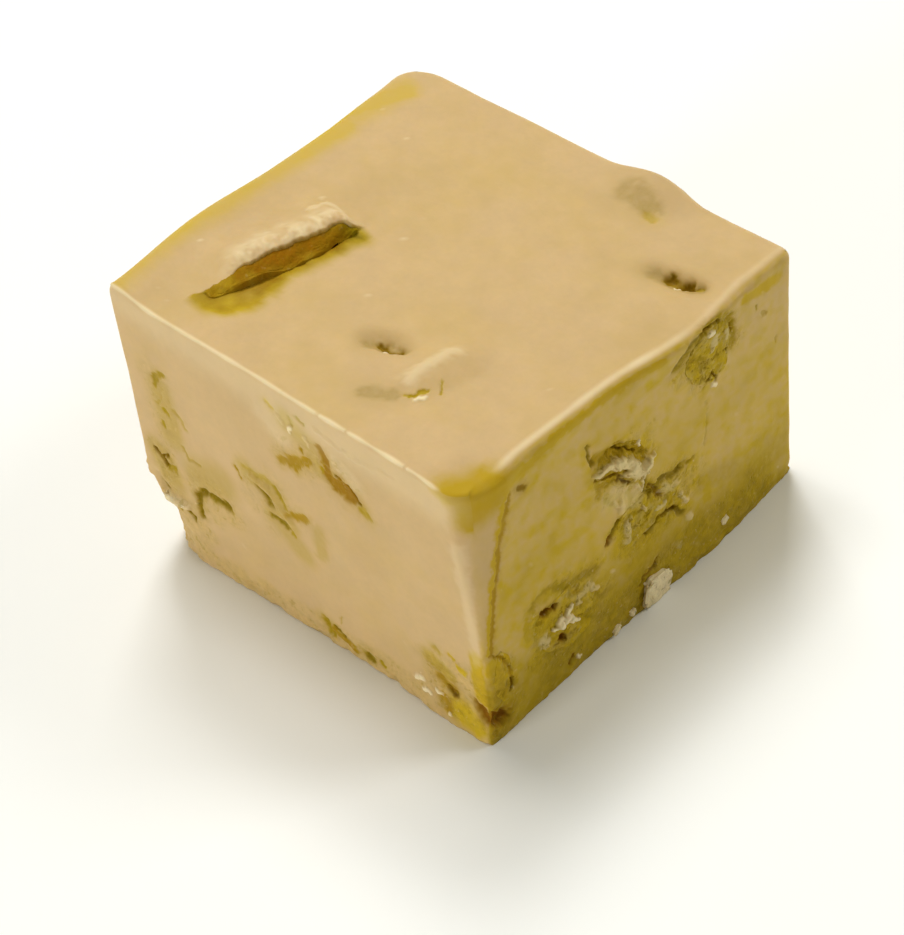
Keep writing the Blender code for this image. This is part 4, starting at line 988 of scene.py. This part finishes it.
def plain_block(sizes):
    """The plain box with a grid that is fine wherever the surface has detail."""
    bm = bmesh.new()
    bmesh.ops.create_cube(bm, size=2.0)
    counts = [round(sizes.cells * length / BLOCK_WIDTH) for length in (BLOCK_WIDTH, BLOCK_DEPTH, BLOCK_HEIGHT)]
    for axis, count in enumerate(counts):
        bmesh.ops.subdivide_edges(bm, edges=edges_along(bm, axis), cuts=count - 1, use_grid_fill=True)
    unit = crowd(places_of(bm))
    put_places(bm, np.stack((unit[:, 0] * HALF_WIDTH, unit[:, 1] * HALF_DEPTH, (unit[:, 2] + 1.0) / 2 * BLOCK_HEIGHT), axis=1))
    for _ in range(3):
        middles = np.array([face.calc_center_median()[:] for face in bm.faces])
        spans = np.array([max(edge.calc_length() for edge in face.edges) for face in bm.faces])
        coarse = spans > 1.35 * wanted_cell(middles, sizes)
        chosen = {edge for face, split in zip(bm.faces, coarse) if split for edge in face.edges}
        bmesh.ops.subdivide_edges(bm, edges=list(chosen), cuts=1, use_grid_fill=True)
    return bm


def give_tints(mesh, tints, crumbly):
    """Stores the tints and the crumbliness of each vertex for the finish."""
    shares = {name: tints[:, index] for index, name in enumerate(("gold", "olive", "brown", "cream"))}
    shares["crumbly"] = crumbly
    for name, share in shares.items():
        store = mesh.attributes.new(name, "FLOAT", "POINT")
        store.data.foreach_set("value", np.clip(share, 0.0, 1.0).astype(np.float32))


def crumbly_share(plain):
    """How crumbly the block is: near broken walnuts, along the foot of the right cut and at the chipped corner."""
    share = np.zeros(len(plain))
    for patch_side, (along, up), (half_along, half_up), amount in CRUMBLY_PATCHES.values():
        places, inward = side_places(patch_side, plain)
        away = np.hypot((places[:, 0] / MM - along) / half_along, (places[:, 1] / MM - up) / half_up)
        ragged = 0.35 * noise_at(plain, 2.0 * MM, 131.0)
        cover = smooth_step((1.15 - away + ragged) / 0.5) * smooth_step(1.0 - inward / (1.5 * MM))
        share = np.maximum(share, amount * cover)
    return share


def crumbs_at(places):
    """The relief of crumbly fudge or broken flesh, from about -1 to 1."""
    relief = noise_at(places, 1.2 * MM, 141.0) + 0.7 * noise_at(places, 0.55 * MM, 143.0)
    return relief + 0.5 * noise_at(places, 0.28 * MM, 147.0)


def side_tint_and_painted_shade(plain):
    """The slow change of gold and olive over the block: the right cut, which faces away from the lights, is painted
    golden-olive as painted shade, and more olive towards its base.
    """
    tints = np.zeros((len(plain), 4))
    x, y, z = plain.T
    # right: the right cut's painted shade; the facet by the near corner, which turns towards the lights, gets less of
    # it.
    right = smooth_step(1.0 - (HALF_WIDTH - x - 0.1 * MM) / (0.6 * MM))
    low = 1.0 - z / BLOCK_HEIGHT
    slow = noise_at(plain, 7.0 * MM, 83.0)
    mottle = noise_at(plain, 1.6 * MM, 87.0)
    patch = smooth_step(mottle * 1.6 + 0.2)
    speckle = noise_at(plain, 0.7 * MM, 89.0)
    seam = SEAM_FOOT + SEAM_LEAN * z
    right *= 1.0 - FACET_LESS_SHADE * smooth_step((seam - y + 0.4 * MM) / (1.6 * MM)) * smooth_step((z - 11.0 * MM) / (4.0 * MM))
    tints[:, 0] = right * np.clip(0.46 + 0.30 * low + 0.20 * slow + 0.26 * patch + 0.30 * speckle, 0.0, 1.0)
    # Darker and more olive towards the right cut's base.
    foot = smooth_step((11.5 * MM - z) / (7.0 * MM))
    far = smooth_step(y / (15.0 * MM))
    tints[:, 0] += right * (0.25 * foot - 0.16 * far * (1.0 - low)) * (0.7 + 0.6 * patch)
    tints[:, 1] = right * np.clip(0.02 + (0.42 - 0.10 * far) * foot + 0.16 * slow + 0.10 * patch, 0.0, 1.0)
    front = smooth_step(1.0 - (y + HALF_DEPTH) / (0.5 * MM)) * (1.0 - right)
    tints[:, 0] += front * np.clip(0.10 * slow + 0.10 * low + 0.08 * mottle - 0.04, 0.0, 1.0)
    top = (z > BLOCK_HEIGHT - 0.3 * MM) * (1.0 - right)
    tints[:, 0] += top * np.clip(0.05 + 0.12 * slow + 0.05 * mottle + 0.05 * speckle, 0.0, 1.0)
    tints[:, 1] += top * np.clip(0.05 * slow + 0.05 * mottle, 0.0, 1.0)
    return tints


def make_block(sizes):
    """The block with all its relief and tints."""
    bm = plain_block(sizes)
    plain = places_of(bm)
    put_places(bm, shape(plain))
    bm.normal_update()
    normals = np.array([vert.normal[:] for vert in bm.verts])
    height = np.zeros(len(plain))
    tints = side_tint_and_painted_shade(plain)
    lean = np.zeros((len(plain), 3))
    for side in ("top", "front", "right"):
        places, inward = side_places(side, plain)
        near = smooth_step(1.0 - inward / EDGE_TOLERANCE)
        here = near > 0.0
        rise, marks = draw_marks(side, places[here], near[here])
        grain, cream = scatter_grains(side, places[here], sizes.grain_size)
        height[here] += rise + grain * near[here]
        marks[:, 3] = np.maximum(marks[:, 3], GRAIN_PALENESS * cream)
        tints[here, :3] *= 1.0 - 0.8 * marks[:, 3:4]
        tints[here] = np.maximum(tints[here], marks)
    flat = plain[:, 2] > BLOCK_HEIGHT - EDGE_TOLERANCE
    ridge_height, ridge_lean, inside, behind, rise = raise_ridge(plain[flat][:, :2])
    angle = math.radians(RIDGE_TURN)
    ridge_near = np.linalg.norm(plain[flat][:, :2] / MM - RIDGE_PLACE, axis=1) < 16.0
    height[flat] += ridge_height * ridge_near
    lean[flat, 0] = ridge_lean * ridge_near * math.sin(angle)
    lean[flat, 1] = -ridge_lean * ridge_near * math.cos(angle)
    tints[flat] = np.maximum(tints[flat], ridge_tints(plain[flat][:, :2], inside, behind, rise) * ridge_near[:, None])
    # Cream along the rims: the front burr's pale colour with a painted highlight, and a painted highlight along the
    # right rim.
    burr, cream = front_burr_and_highlight(plain, sizes)
    height += burr
    free = 1.0 - smooth_step((tints[:, 1] - 0.2) / 0.3)
    cream = np.maximum(cream, right_rim_highlight(plain) * free * (plain[:, 0] > HALF_WIDTH - 2.0 * MM))
    tints[:, :3] *= 1.0 - 0.85 * np.clip(cream, 0.0, 1.0)[:, None]
    tints[:, 3] = np.maximum(tints[:, 3], 0.8 * cream)
    crumbly = crumbly_share(plain)
    relief = crumbs_at(plain)
    height += base_wear(plain) + chip_wear(plain) + CRUMB_HEIGHT * crumbly * relief
    tints[:, 0] += 0.25 * crumbly * (1.0 - tints[:, 3])
    tints[:, 1] += (0.10 + 0.25 * smooth_step(-relief - 0.2)) * crumbly * (1.0 - tints[:, 3])
    tints[:, 3] += 0.25 * crumbly * smooth_step(relief - 0.5)
    cut = (plain[:, 2] < BLOCK_HEIGHT - 0.3 * MM) * 1.0
    height += sizes.drag_height * cut * (noise_at(plain * (1.0, 1.0, 0.35), 0.9 * MM, 91.0) + noise_at(plain, 3.0 * MM, 95.0))
    for name in WALNUTS:
        if name in BURIED or name == "walnut_ridge":
            continue
        cover = nut_cover(name, plain)
        ragged = 0.26 * MM * (noise_at(plain, 0.9 * MM, 101.0) + 0.6 * noise_at(plain, 0.4 * MM, 103.0))
        height -= 0.8 * MM * smooth_step((cover + ragged - 0.25 * MM) / (0.6 * MM))
    moved = places_of(bm) + normals * height[:, None] + lean
    moved[plain[:, 2] <= 0.0, 2] = 0.0
    put_places(bm, np.clip(moved, *CAD_BOX))
    bm.normal_update()
    mesh = bpy.data.meshes.new("fudge_block")
    bm.to_mesh(mesh)
    give_tints(mesh, tints, crumbly)
    bm.free()
    bm = bmesh.new()
    bm.from_mesh(mesh)
    underside = [face for face in bm.faces if all(vert.co.z < UNDERSIDE_LEVEL for vert in face.verts)]
    bmesh.ops.dissolve_faces(bm, faces=underside, use_verts=True)
    bm.to_mesh(mesh)
    bm.free()
    mesh.shade_smooth()
    return mesh


def make_nut(name, sizes):
    """One walnut piece: a lumpy ball whose top is pressed level with its side and broken up."""
    side, (along, up), half_sizes, turn, depth, proud, seed = WALNUTS[name]
    tint, roughness = NUT_LOOKS[name]
    bm = bmesh.new()
    detail = sizes.detail if max(half_sizes) > 3.5 else sizes.detail - 1
    bmesh.ops.create_icosphere(bm, subdivisions=detail, radius=1.0)
    directions = places_of(bm)
    unit = directions * ball_radius(directions, seed)[:, None]
    unit[:, 1] += BEND * (1.0 - 2.0 * unit[:, 0] ** 2)
    ball = unit * np.array(half_sizes) * MM
    ball[:, 2] -= depth * MM
    angle = math.radians(turn)
    spin = np.array(((math.cos(angle), -math.sin(angle), 0.0), (math.sin(angle), math.cos(angle), 0.0), (0.0, 0.0, 1.0)))
    local = ball @ spin.T
    matrix = nut_frame(side, along * MM, up * MM)
    step = 0.5 * MM
    steps = np.array(((step, 0.0), (-step, 0.0), (0.0, step), (0.0, -step))) + (along * MM, up * MM)
    around = shape(on_side(side, steps[:, 0], steps[:, 1]))
    axes = np.stack(((around[0] - around[1]) / (2 * step), (around[2] - around[3]) / (2 * step)), axis=1)
    turned = np.array(matrix.to_3x3())
    flat_world = (local * (1.0, 1.0, 0.0)) @ turned.T
    nominal = np.linalg.lstsq(axes, flat_world.T, rcond=None)[0].T + (along * MM, up * MM)
    level = NUT_LEVEL
    above = local[:, 2] - level
    near = smooth_step(1.0 + above / (0.8 * MM))
    surface = shape(on_side(side, nominal[:, 0], nominal[:, 1]))
    out = turned[:, 2]
    plane = np.array(matrix.translation) + flat_world
    lift = (surface - plane) @ out
    height, tints = draw_marks(side, nominal, near)
    rough = noise_at(local, 1.5 * MM, seed) + 0.6 * np.abs(noise_at(local, 0.7 * MM, seed + 7.0)) + 0.20 * noise_at(local, 0.3 * MM, seed + 13.0)
    if name == "walnut_ridge":
        moved, tints = press_ridge(local, nominal, tints, rough)
        world = moved @ turned.T + np.array(matrix.translation)
    else:
        pressed = np.minimum(local[:, 2], level)
        crumble = roughness * MM * rough * 0.6 * near * (1.0 - 0.8 * tints[:, 3]) * smooth_step((1.0 - np.linalg.norm(directions[:, :2], axis=1)) / 0.10)
        buried = -BURIED.get(name, 0.0) * MM
        out_by = pressed + (height + lift + crumble + buried) * near
        world = flat_world + np.array(matrix.translation) + out * out_by[:, None]
    base = np.array(TINTS[tint])
    mottle = noise_at(local, 1.2 * MM, seed + 23.0) + 0.6 * noise_at(local, 0.45 * MM, seed + 29.0)
    crevice = smooth_step((0.05 - rough) / 0.6)
    edge = 1.0 - np.linalg.norm(directions[:, :2], axis=1)
    inner = smooth_step((edge + 0.05 * mottle) / 0.14)[:, None]
    # Each piece's edge takes on its side's tints, with the right cut's painted shade.
    painted_shade_and_tint = side_tint_and_painted_shade(on_side(side, nominal[:, 0], nominal[:, 1]))
    looks = painted_shade_and_tint * (1.0 - inner) + inner * np.maximum(0.5 * painted_shade_and_tint, base * (0.85 + 0.6 * mottle[:, None]))
    if name == "walnut_ridge":
        looks = np.zeros((len(looks), 4))
    looks[:, 1] += 0.34 * crevice * inner[:, 0]
    looks[:, 2] += 0.04 * crevice * inner[:, 0]
    looks = np.clip(looks, 0.0, 1.0)
    looks[:, :3] *= 1.0 - 0.9 * tints[:, 3:4]
    looks = np.maximum(looks, tints)
    put_places(bm, np.clip(world, *CAD_BOX))
    bm.normal_update()
    mesh = bpy.data.meshes.new(name)
    bm.to_mesh(mesh)
    bm.free()
    give_tints(mesh, looks, (0.3 if name == "walnut_ridge" else 0.9) * (1.0 - 0.8 * looks[:, 3]))
    mesh.shade_smooth()
    return mesh


def press_ridge(local, nominal, tints, rough):
    """Fits the ridge's walnut under the skin of fudge and bares it in the hollow, in its side's own frame."""
    height, lean, inside, behind, rise = raise_ridge(nominal)
    along, across, lip, rise, reach = ridge_lines(nominal)
    plan = nut_plan(along, across)
    under_skin = height / MM - 0.30
    flank = -0.14 + (0.45 + 0.40 * rise) * smooth_step((behind + reach) / reach) + 0.14 * rough
    flank -= 0.32 * smooth_step((plan - 0.82) / 0.16)
    bare = smooth_step(inside * 2.0)
    ceiling = np.where(behind > -0.05, under_skin, -0.8 + (flank + 0.8) * bare)
    upper = local[:, 2] > -(WALNUTS["walnut_ridge"][4] + 0.1) * MM
    moved = local.copy()
    moved[:, 2] = np.where(upper & (behind <= -0.05), ceiling * MM, np.minimum(local[:, 2], ceiling * MM))
    looks = np.maximum(tints, ridge_tints(nominal, inside, behind, rise))
    looks[:, 3] = 0.0
    return moved, looks


def make_chip(name):
    """One loose flake or crumb at the foot of the block."""
    middle, half_sizes, turns, seed = CHIPS[name]
    bm = bmesh.new()
    bmesh.ops.create_icosphere(bm, subdivisions=5, radius=1.0)
    places = places_of(bm)
    blocky = np.sign(places) * np.abs(places) ** 0.55
    ragged = 0.95 + 0.34 * noise_at(places * 1.4, 1.0, seed) + 0.12 * noise_at(places * 4.0, 1.0, seed + 5.0)
    put_places(bm, blocky * ragged[:, None] * np.array(half_sizes) * MM)
    turn = Matrix.Rotation(math.radians(turns[2]), 4, "X") @ Matrix.Rotation(math.radians(turns[1]), 4, "Y")
    turn = Matrix.Rotation(math.radians(turns[0]), 4, "Z") @ turn
    bmesh.ops.transform(bm, matrix=Matrix.Translation(Vector(middle) * MM) @ turn, verts=bm.verts)
    put_places(bm, np.clip(places_of(bm), *CAD_BOX))
    bm.normal_update()
    return bm


def add_piece(name, mesh, material):
    """Makes an object of a mesh, dresses it and lets it ride on the block's body."""
    mesh.materials.clear()
    mesh.materials.append(material)
    obj = bpy.data.objects.new(name, mesh)
    bpy.context.scene.collection.objects.link(obj)
    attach(obj, "root")
    return obj


class Finish:
    """A small helper that adds and joins the nodes of a material."""

    def __init__(self, name):
        self.material = bpy.data.materials.new(name)
        self.material.use_nodes = True
        self.tree = self.material.node_tree
        self.shader = self.tree.nodes["Principled BSDF"]

    def node(self, kind, settings=None, **links):
        """Adds a node, sets its settings and inputs, and joins sockets given as inputs."""
        node = self.tree.nodes.new(kind)
        for key, value in (settings or {}).items():
            setattr(node, key, value)
        for key, value in links.items():
            self.put(node.inputs[int(key[1:]) if key[0] == "i" and key[1:].isdigit() else key.replace("_", " ")], value)
        return node

    def put(self, socket, value):
        """Joins a socket to another, or sets its value."""
        if isinstance(value, bpy.types.NodeSocket):
            self.tree.links.new(value, socket)
        else:
            socket.default_value = value

    def fleck(self, colour, share, crumbly, wanted):
        """Mixes small flecks of a colour in where the surface is crumbly."""
        amount = self.node("ShaderNodeMath", {"operation": "MULTIPLY"}, i0=share, i1=crumbly)
        mix = self.node("ShaderNodeMix", {"data_type": "RGBA"})
        self.put(mix.inputs["Factor"], amount.outputs[0])
        self.put(mix.inputs["A"], colour)
        self.put(mix.inputs["B"], wanted)
        return mix.outputs["Result"]

    def tint(self, colour, attribute, wanted, share=1.0, noise_socket=None):
        """Mixes a colour in by the share that an attribute gives."""
        store = self.node("ShaderNodeAttribute", {"attribute_name": attribute})
        amount = self.node("ShaderNodeMath", {"operation": "MULTIPLY", "use_clamp": True}, i0=store.outputs["Fac"], i1=share)
        if noise_socket is not None:
            centred = self.node("ShaderNodeMath", {"operation": "MULTIPLY_ADD"}, i0=noise_socket, i1=0.9, i2=0.55)
            amount = self.node("ShaderNodeMath", {"operation": "MULTIPLY", "use_clamp": True}, i0=amount.outputs[0], i1=centred.outputs[0])
        mix = self.node("ShaderNodeMix", {"data_type": "RGBA"})
        self.put(mix.inputs["Factor"], amount.outputs[0])
        self.put(mix.inputs["A"], colour)
        self.put(mix.inputs["B"], wanted)
        return mix.outputs["Result"]


def body_finish(name, base, fudge, settings):
    """A finish for fudge or walnut flesh, with its tints, its grain and its sheen."""
    finish = Finish(name)
    place = finish.node("ShaderNodeTexCoord").outputs["Object"]
    broad = finish.node("ShaderNodeTexNoise", Vector=place, Scale=260.0, Detail=3.0, Roughness=0.55)
    fine = finish.node("ShaderNodeTexNoise", Vector=place, Scale=1500.0, Detail=4.0, Roughness=0.6)
    grain = finish.node("ShaderNodeTexNoise", Vector=place, Scale=settings["grain_scale"], Detail=5.0, Roughness=0.65)
    shade = finish.node("ShaderNodeMapRange", i0=broad.outputs["Fac"], i1=0.3, i2=0.7, i3=0.955, i4=1.035)
    speck = finish.node("ShaderNodeMapRange", i0=fine.outputs["Fac"], i1=0.3, i2=0.7, i3=settings["speck_low"], i4=settings["speck_high"])
    both = finish.node("ShaderNodeMath", {"operation": "MULTIPLY"}, i0=shade.outputs[0], i1=speck.outputs[0])
    mottled = finish.node("ShaderNodeMix", {"data_type": "RGBA", "blend_type": "MULTIPLY"})
    finish.put(mottled.inputs["Factor"], 1.0)
    finish.put(mottled.inputs["A"], base)
    finish.put(mottled.inputs["B"], both.outputs[0])
    colour = mottled.outputs["Result"]
    # These shares carry painted shade, a painted glow and painted highlights as well as the fudge's own tints.
    colour = finish.tint(colour, "gold", fudge.gold_colour, 1.0, broad.outputs["Fac"])
    colour = finish.tint(colour, "olive", fudge.olive_colour, 1.0, fine.outputs["Fac"])
    colour = finish.tint(colour, "brown", fudge.brown_colour, 1.0)
    colour = finish.tint(colour, "cream", fudge.cream_colour, 1.0)
    crumbly = finish.node("ShaderNodeAttribute", {"attribute_name": "crumbly"}).outputs["Fac"]
    crumb = finish.node("ShaderNodeTexNoise", Vector=place, Scale=1100.0, Detail=3.0, Roughness=0.7)
    uneven = finish.node("ShaderNodeMapRange", i0=crumb.outputs["Fac"], i1=0.32, i2=0.68, i3=0.80, i4=1.14)
    spotted = finish.node("ShaderNodeMix", {"data_type": "RGBA", "blend_type": "MULTIPLY"})
    finish.put(spotted.inputs["Factor"], crumbly)
    finish.put(spotted.inputs["A"], colour)
    finish.put(spotted.inputs["B"], uneven.outputs[0])
    dents = finish.node("ShaderNodeTexNoise", Vector=place, Scale=1300.0, Detail=2.5, Roughness=0.6)
    dent = finish.node("ShaderNodeMapRange", i0=dents.outputs["Fac"], i1=0.57, i2=0.66, i3=0.0, i4=0.75)
    bits = finish.node("ShaderNodeTexNoise", {"noise_dimensions": "4D"}, Vector=place, W=7.0, Scale=1500.0, Detail=2.5, Roughness=0.6)
    bit = finish.node("ShaderNodeMapRange", i0=bits.outputs["Fac"], i1=0.61, i2=0.72, i3=0.0, i4=0.45)
    colour = finish.fleck(spotted.outputs["Result"], dent.outputs[0], crumbly, settings["dent_colour"])
    colour = finish.fleck(colour, bit.outputs[0], crumbly, settings["bit_colour"])
    finish.put(finish.shader.inputs["Base Color"], colour)
    flecks = finish.node("ShaderNodeMath", {"operation": "SUBTRACT"}, i0=bit.outputs[0], i1=dent.outputs[0])
    rough = finish.node("ShaderNodeMapRange", i0=fine.outputs["Fac"], i1=0.25, i2=0.75, i3=settings["rough_low"], i4=settings["rough_high"])
    finish.put(finish.shader.inputs["Roughness"], rough.outputs[0])
    finish.shader.inputs["Specular IOR Level"].default_value = settings["shine"]
    finish.shader.inputs["Subsurface Weight"].default_value = settings["glow"]
    finish.shader.inputs["Subsurface Radius"].default_value = (1.0, 0.55, 0.2)
    finish.shader.inputs["Subsurface Scale"].default_value = settings["glow_depth"]
    soft = finish.node("ShaderNodeBump", Strength=settings["soft_strength"], Distance=settings["soft_distance"], Height=broad.outputs["Fac"])
    lumps = finish.node("ShaderNodeBump", Distance=0.22 * MM, Height=crumb.outputs["Fac"], Normal=soft.outputs[0])
    finish.put(lumps.inputs["Strength"], crumbly)
    pitted = finish.node("ShaderNodeBump", Distance=0.12 * MM, Height=flecks.outputs[0], Normal=lumps.outputs[0])
    finish.put(pitted.inputs["Strength"], crumbly)
    hard = finish.node("ShaderNodeBump", Strength=settings["grain_strength"], Distance=settings["grain_distance"], Height=grain.outputs["Fac"], Normal=pitted.outputs[0])
    finish.put(finish.shader.inputs["Normal"], hard.outputs[0])
    return finish.material


def fudge_finish():
    """Satin, slightly translucent fudge."""
    sizes = bpy.context.scene.fudge_sizes
    settings = {
        "grain_scale": 2600.0,
        "speck_low": 0.975,
        "speck_high": 1.02,
        "rough_low": 0.46,
        "rough_high": 0.62,
        "shine": 0.08,
        "dent_colour": (0.40, 0.27, 0.012, 1.0),
        "bit_colour": (0.78, 0.60, 0.32, 1.0),
        "glow": sizes.glow,
        "glow_depth": 1.4 * MM,
        "soft_strength": 0.35,
        "soft_distance": 0.25 * MM,
        "grain_strength": 0.35,
        "grain_distance": 0.05 * MM,
    }
    return body_finish("fudge_satin", tuple(sizes.fudge_colour), sizes, settings)


def flesh_finish():
    """Matt, broken walnut flesh."""
    scene = bpy.context.scene
    settings = {
        "grain_scale": 4200.0,
        "speck_low": 0.86,
        "speck_high": 1.10,
        "rough_low": 0.60,
        "rough_high": 0.80,
        "shine": 0.03,
        "dent_colour": (0.26, 0.16, 0.004, 1.0),
        "bit_colour": (0.62, 0.49, 0.20, 1.0),
        "glow": 0.10,
        "glow_depth": 0.6 * MM,
        "soft_strength": 0.5,
        "soft_distance": 0.25 * MM,
        "grain_strength": 0.6,
        "grain_distance": 0.08 * MM,
    }
    return body_finish("walnut_flesh", tuple(scene.walnut_sizes.flesh_colour), scene.fudge_sizes, settings)


class FUDGE_OT_block(bpy.types.Operator):
    """Makes the block of fudge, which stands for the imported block"""

    bl_idname = "fudge.block"
    bl_label = "Block"

    def execute(self, context):
        mesh = make_block(context.scene.fudge_sizes)
        piece = add_piece("fudge_block", mesh, fudge_finish())
        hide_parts("fudge")
        return {"FINISHED"}


class FUDGE_OT_walnuts(bpy.types.Operator):
    """Makes the walnut pieces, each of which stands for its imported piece"""

    bl_idname = "fudge.walnuts"
    bl_label = "Walnut pieces"

    def execute(self, context):
        finish = flesh_finish()
        for name in WALNUTS:
            piece = add_piece(name + "_piece", make_nut(name, context.scene.walnut_sizes), finish)
            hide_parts(name)
        return {"FINISHED"}


class FUDGE_OT_crumbs(bpy.types.Operator):
    """Makes the loose flakes and crumbs at the foot of the block"""

    bl_idname = "fudge.crumbs"
    bl_label = "Flakes and crumbs"

    def execute(self, context):
        finish = flesh_finish()
        for name in CHIPS:
            bm = make_chip(name)
            mesh = bpy.data.meshes.new(name)
            bm.to_mesh(mesh)
            bm.free()
            tints = np.zeros((len(mesh.vertices), 4))
            tints[:, 3] = 0.9
            give_tints(mesh, tints, np.full(len(tints), 0.6))
            mesh.shade_smooth()
            add_piece(name, mesh, finish)
        return {"FINISHED"}


class FUDGE_OT_stage(bpy.types.Operator):
    """Sets up the pale floor, the soft lights and the camera"""

    bl_idname = "fudge.stage"
    bl_label = "Stage"

    def execute(self, context):
        sizes = context.scene.stage_sizes
        add_floor(sizes)
        add_lights(sizes)
        add_camera(sizes)
        return {"FINISHED"}


def add_floor(sizes):
    """The plain pale floor."""
    bm = bmesh.new()
    bmesh.ops.create_grid(bm, x_segments=1, y_segments=1, size=sizes.floor_size / 2)
    mesh = bpy.data.meshes.new("floor")
    bm.to_mesh(mesh)
    bm.free()
    material = bpy.data.materials.new("floor")
    material.use_nodes = True
    shader = material.node_tree.nodes["Principled BSDF"]
    shader.inputs["Base Color"].default_value = sizes.floor_colour
    shader.inputs["Roughness"].default_value = 0.9
    shader.inputs["Specular IOR Level"].default_value = 0.1
    mesh.materials.append(material)
    floor = bpy.data.objects.new("floor", mesh)
    bpy.context.scene.collection.objects.link(floor)


def add_area(name, power, sizes, direction):
    """A square soft light in a direction from the block, which looks at the block."""
    light = bpy.data.lights.new(name, "AREA")
    light.energy = power
    light.size = sizes.light_size
    place = Vector(direction).normalized() * sizes.light_distance
    obj = bpy.data.objects.new(name, light)
    obj.location = place
    obj.rotation_euler = (-place).to_track_quat("-Z", "Y").to_euler()
    bpy.context.scene.collection.objects.link(obj)


def add_lights(sizes):
    """A white surround and four broad soft lights: overhead, two behind and a low one on the front cut."""
    world = bpy.data.worlds.new("surround")
    world.use_nodes = True
    background = world.node_tree.nodes["Background"]
    background.inputs["Color"].default_value = (1.0, 0.968, 0.76, 1.0)
    background.inputs["Strength"].default_value = sizes.sky_strength
    bpy.context.scene.world = world
    add_area("overhead", sizes.overhead_power, sizes, (-0.3, 0.1, 0.95))
    add_area("back", sizes.back_power, sizes, (-0.40, 0.40, 0.825))
    add_area("far", sizes.far_power, sizes, (0.45, 0.6, 0.66))
    add_area("front", sizes.front_power, sizes, (-0.15, -0.96, 0.22))
    bpy.context.scene.view_settings.view_transform = "Standard"


def add_camera(sizes):
    """The camera, at its place and with its slight roll."""
    azimuth, elevation, roll = sizes.camera_azimuth, sizes.camera_elevation, sizes.camera_roll
    back = Vector(
        (math.sin(azimuth) * math.cos(elevation), -math.cos(azimuth) * math.cos(elevation), math.sin(elevation))
    )
    level = (-back).cross(Vector((0.0, 0.0, 1.0))).normalized()
    down = (-back).cross(level)
    right = math.cos(roll) * level + math.sin(roll) * down
    lower = -math.sin(roll) * level + math.cos(roll) * down
    matrix = Matrix((right, -lower, back)).transposed().to_4x4()
    matrix.translation = Vector(sizes.camera_place)
    data = bpy.data.cameras.new("camera")
    data.sensor_width = 36.0
    data.lens = sizes.camera_lens
    data.clip_start = 0.01
    camera = bpy.data.objects.new("camera", data)
    camera.matrix_world = matrix
    bpy.context.scene.collection.objects.link(camera)
    bpy.context.scene.camera = camera


class FUDGE_PT_panel(bpy.types.Panel):
    """Lists the steps that make the square of fudge"""

    bl_label = "Walnut fudge square"
    bl_idname = "FUDGE_PT_panel"
    bl_space_type = "VIEW_3D"
    bl_region_type = "UI"
    bl_category = "Fudge"

    def draw(self, context):
        for operator in OPERATORS:
            self.layout.operator(operator.bl_idname)
        for group in ("fudge_sizes", "walnut_sizes", "stage_sizes"):
            settings = getattr(context.scene, group)
            for name in settings.bl_rna.properties.keys():
                if name not in ("rna_type", "name"):
                    self.layout.prop(settings, name)


OPERATORS = (FUDGE_OT_block, FUDGE_OT_walnuts, FUDGE_OT_crumbs, FUDGE_OT_stage)
GROUPS = {"fudge_sizes": FudgeSizes, "walnut_sizes": WalnutSizes, "stage_sizes": StageSizes}


def register():
    for group in GROUPS.values():
        bpy.utils.register_class(group)
    for cls in (*OPERATORS, FUDGE_PT_panel):
        bpy.utils.register_class(cls)
    for name, group in GROUPS.items():
        setattr(bpy.types.Scene, name, PointerProperty(type=group))


def unregister():
    for name in GROUPS:
        delattr(bpy.types.Scene, name)
    for cls in (FUDGE_PT_panel, *reversed(OPERATORS), *GROUPS.values()):
        bpy.utils.unregister_class(cls)


def main():
    register()
    bpy.ops.fudge.block()
    bpy.ops.fudge.walnuts()
    bpy.ops.fudge.crumbs()
    bpy.ops.fudge.stage()


if __name__ == "__main__":
    main()
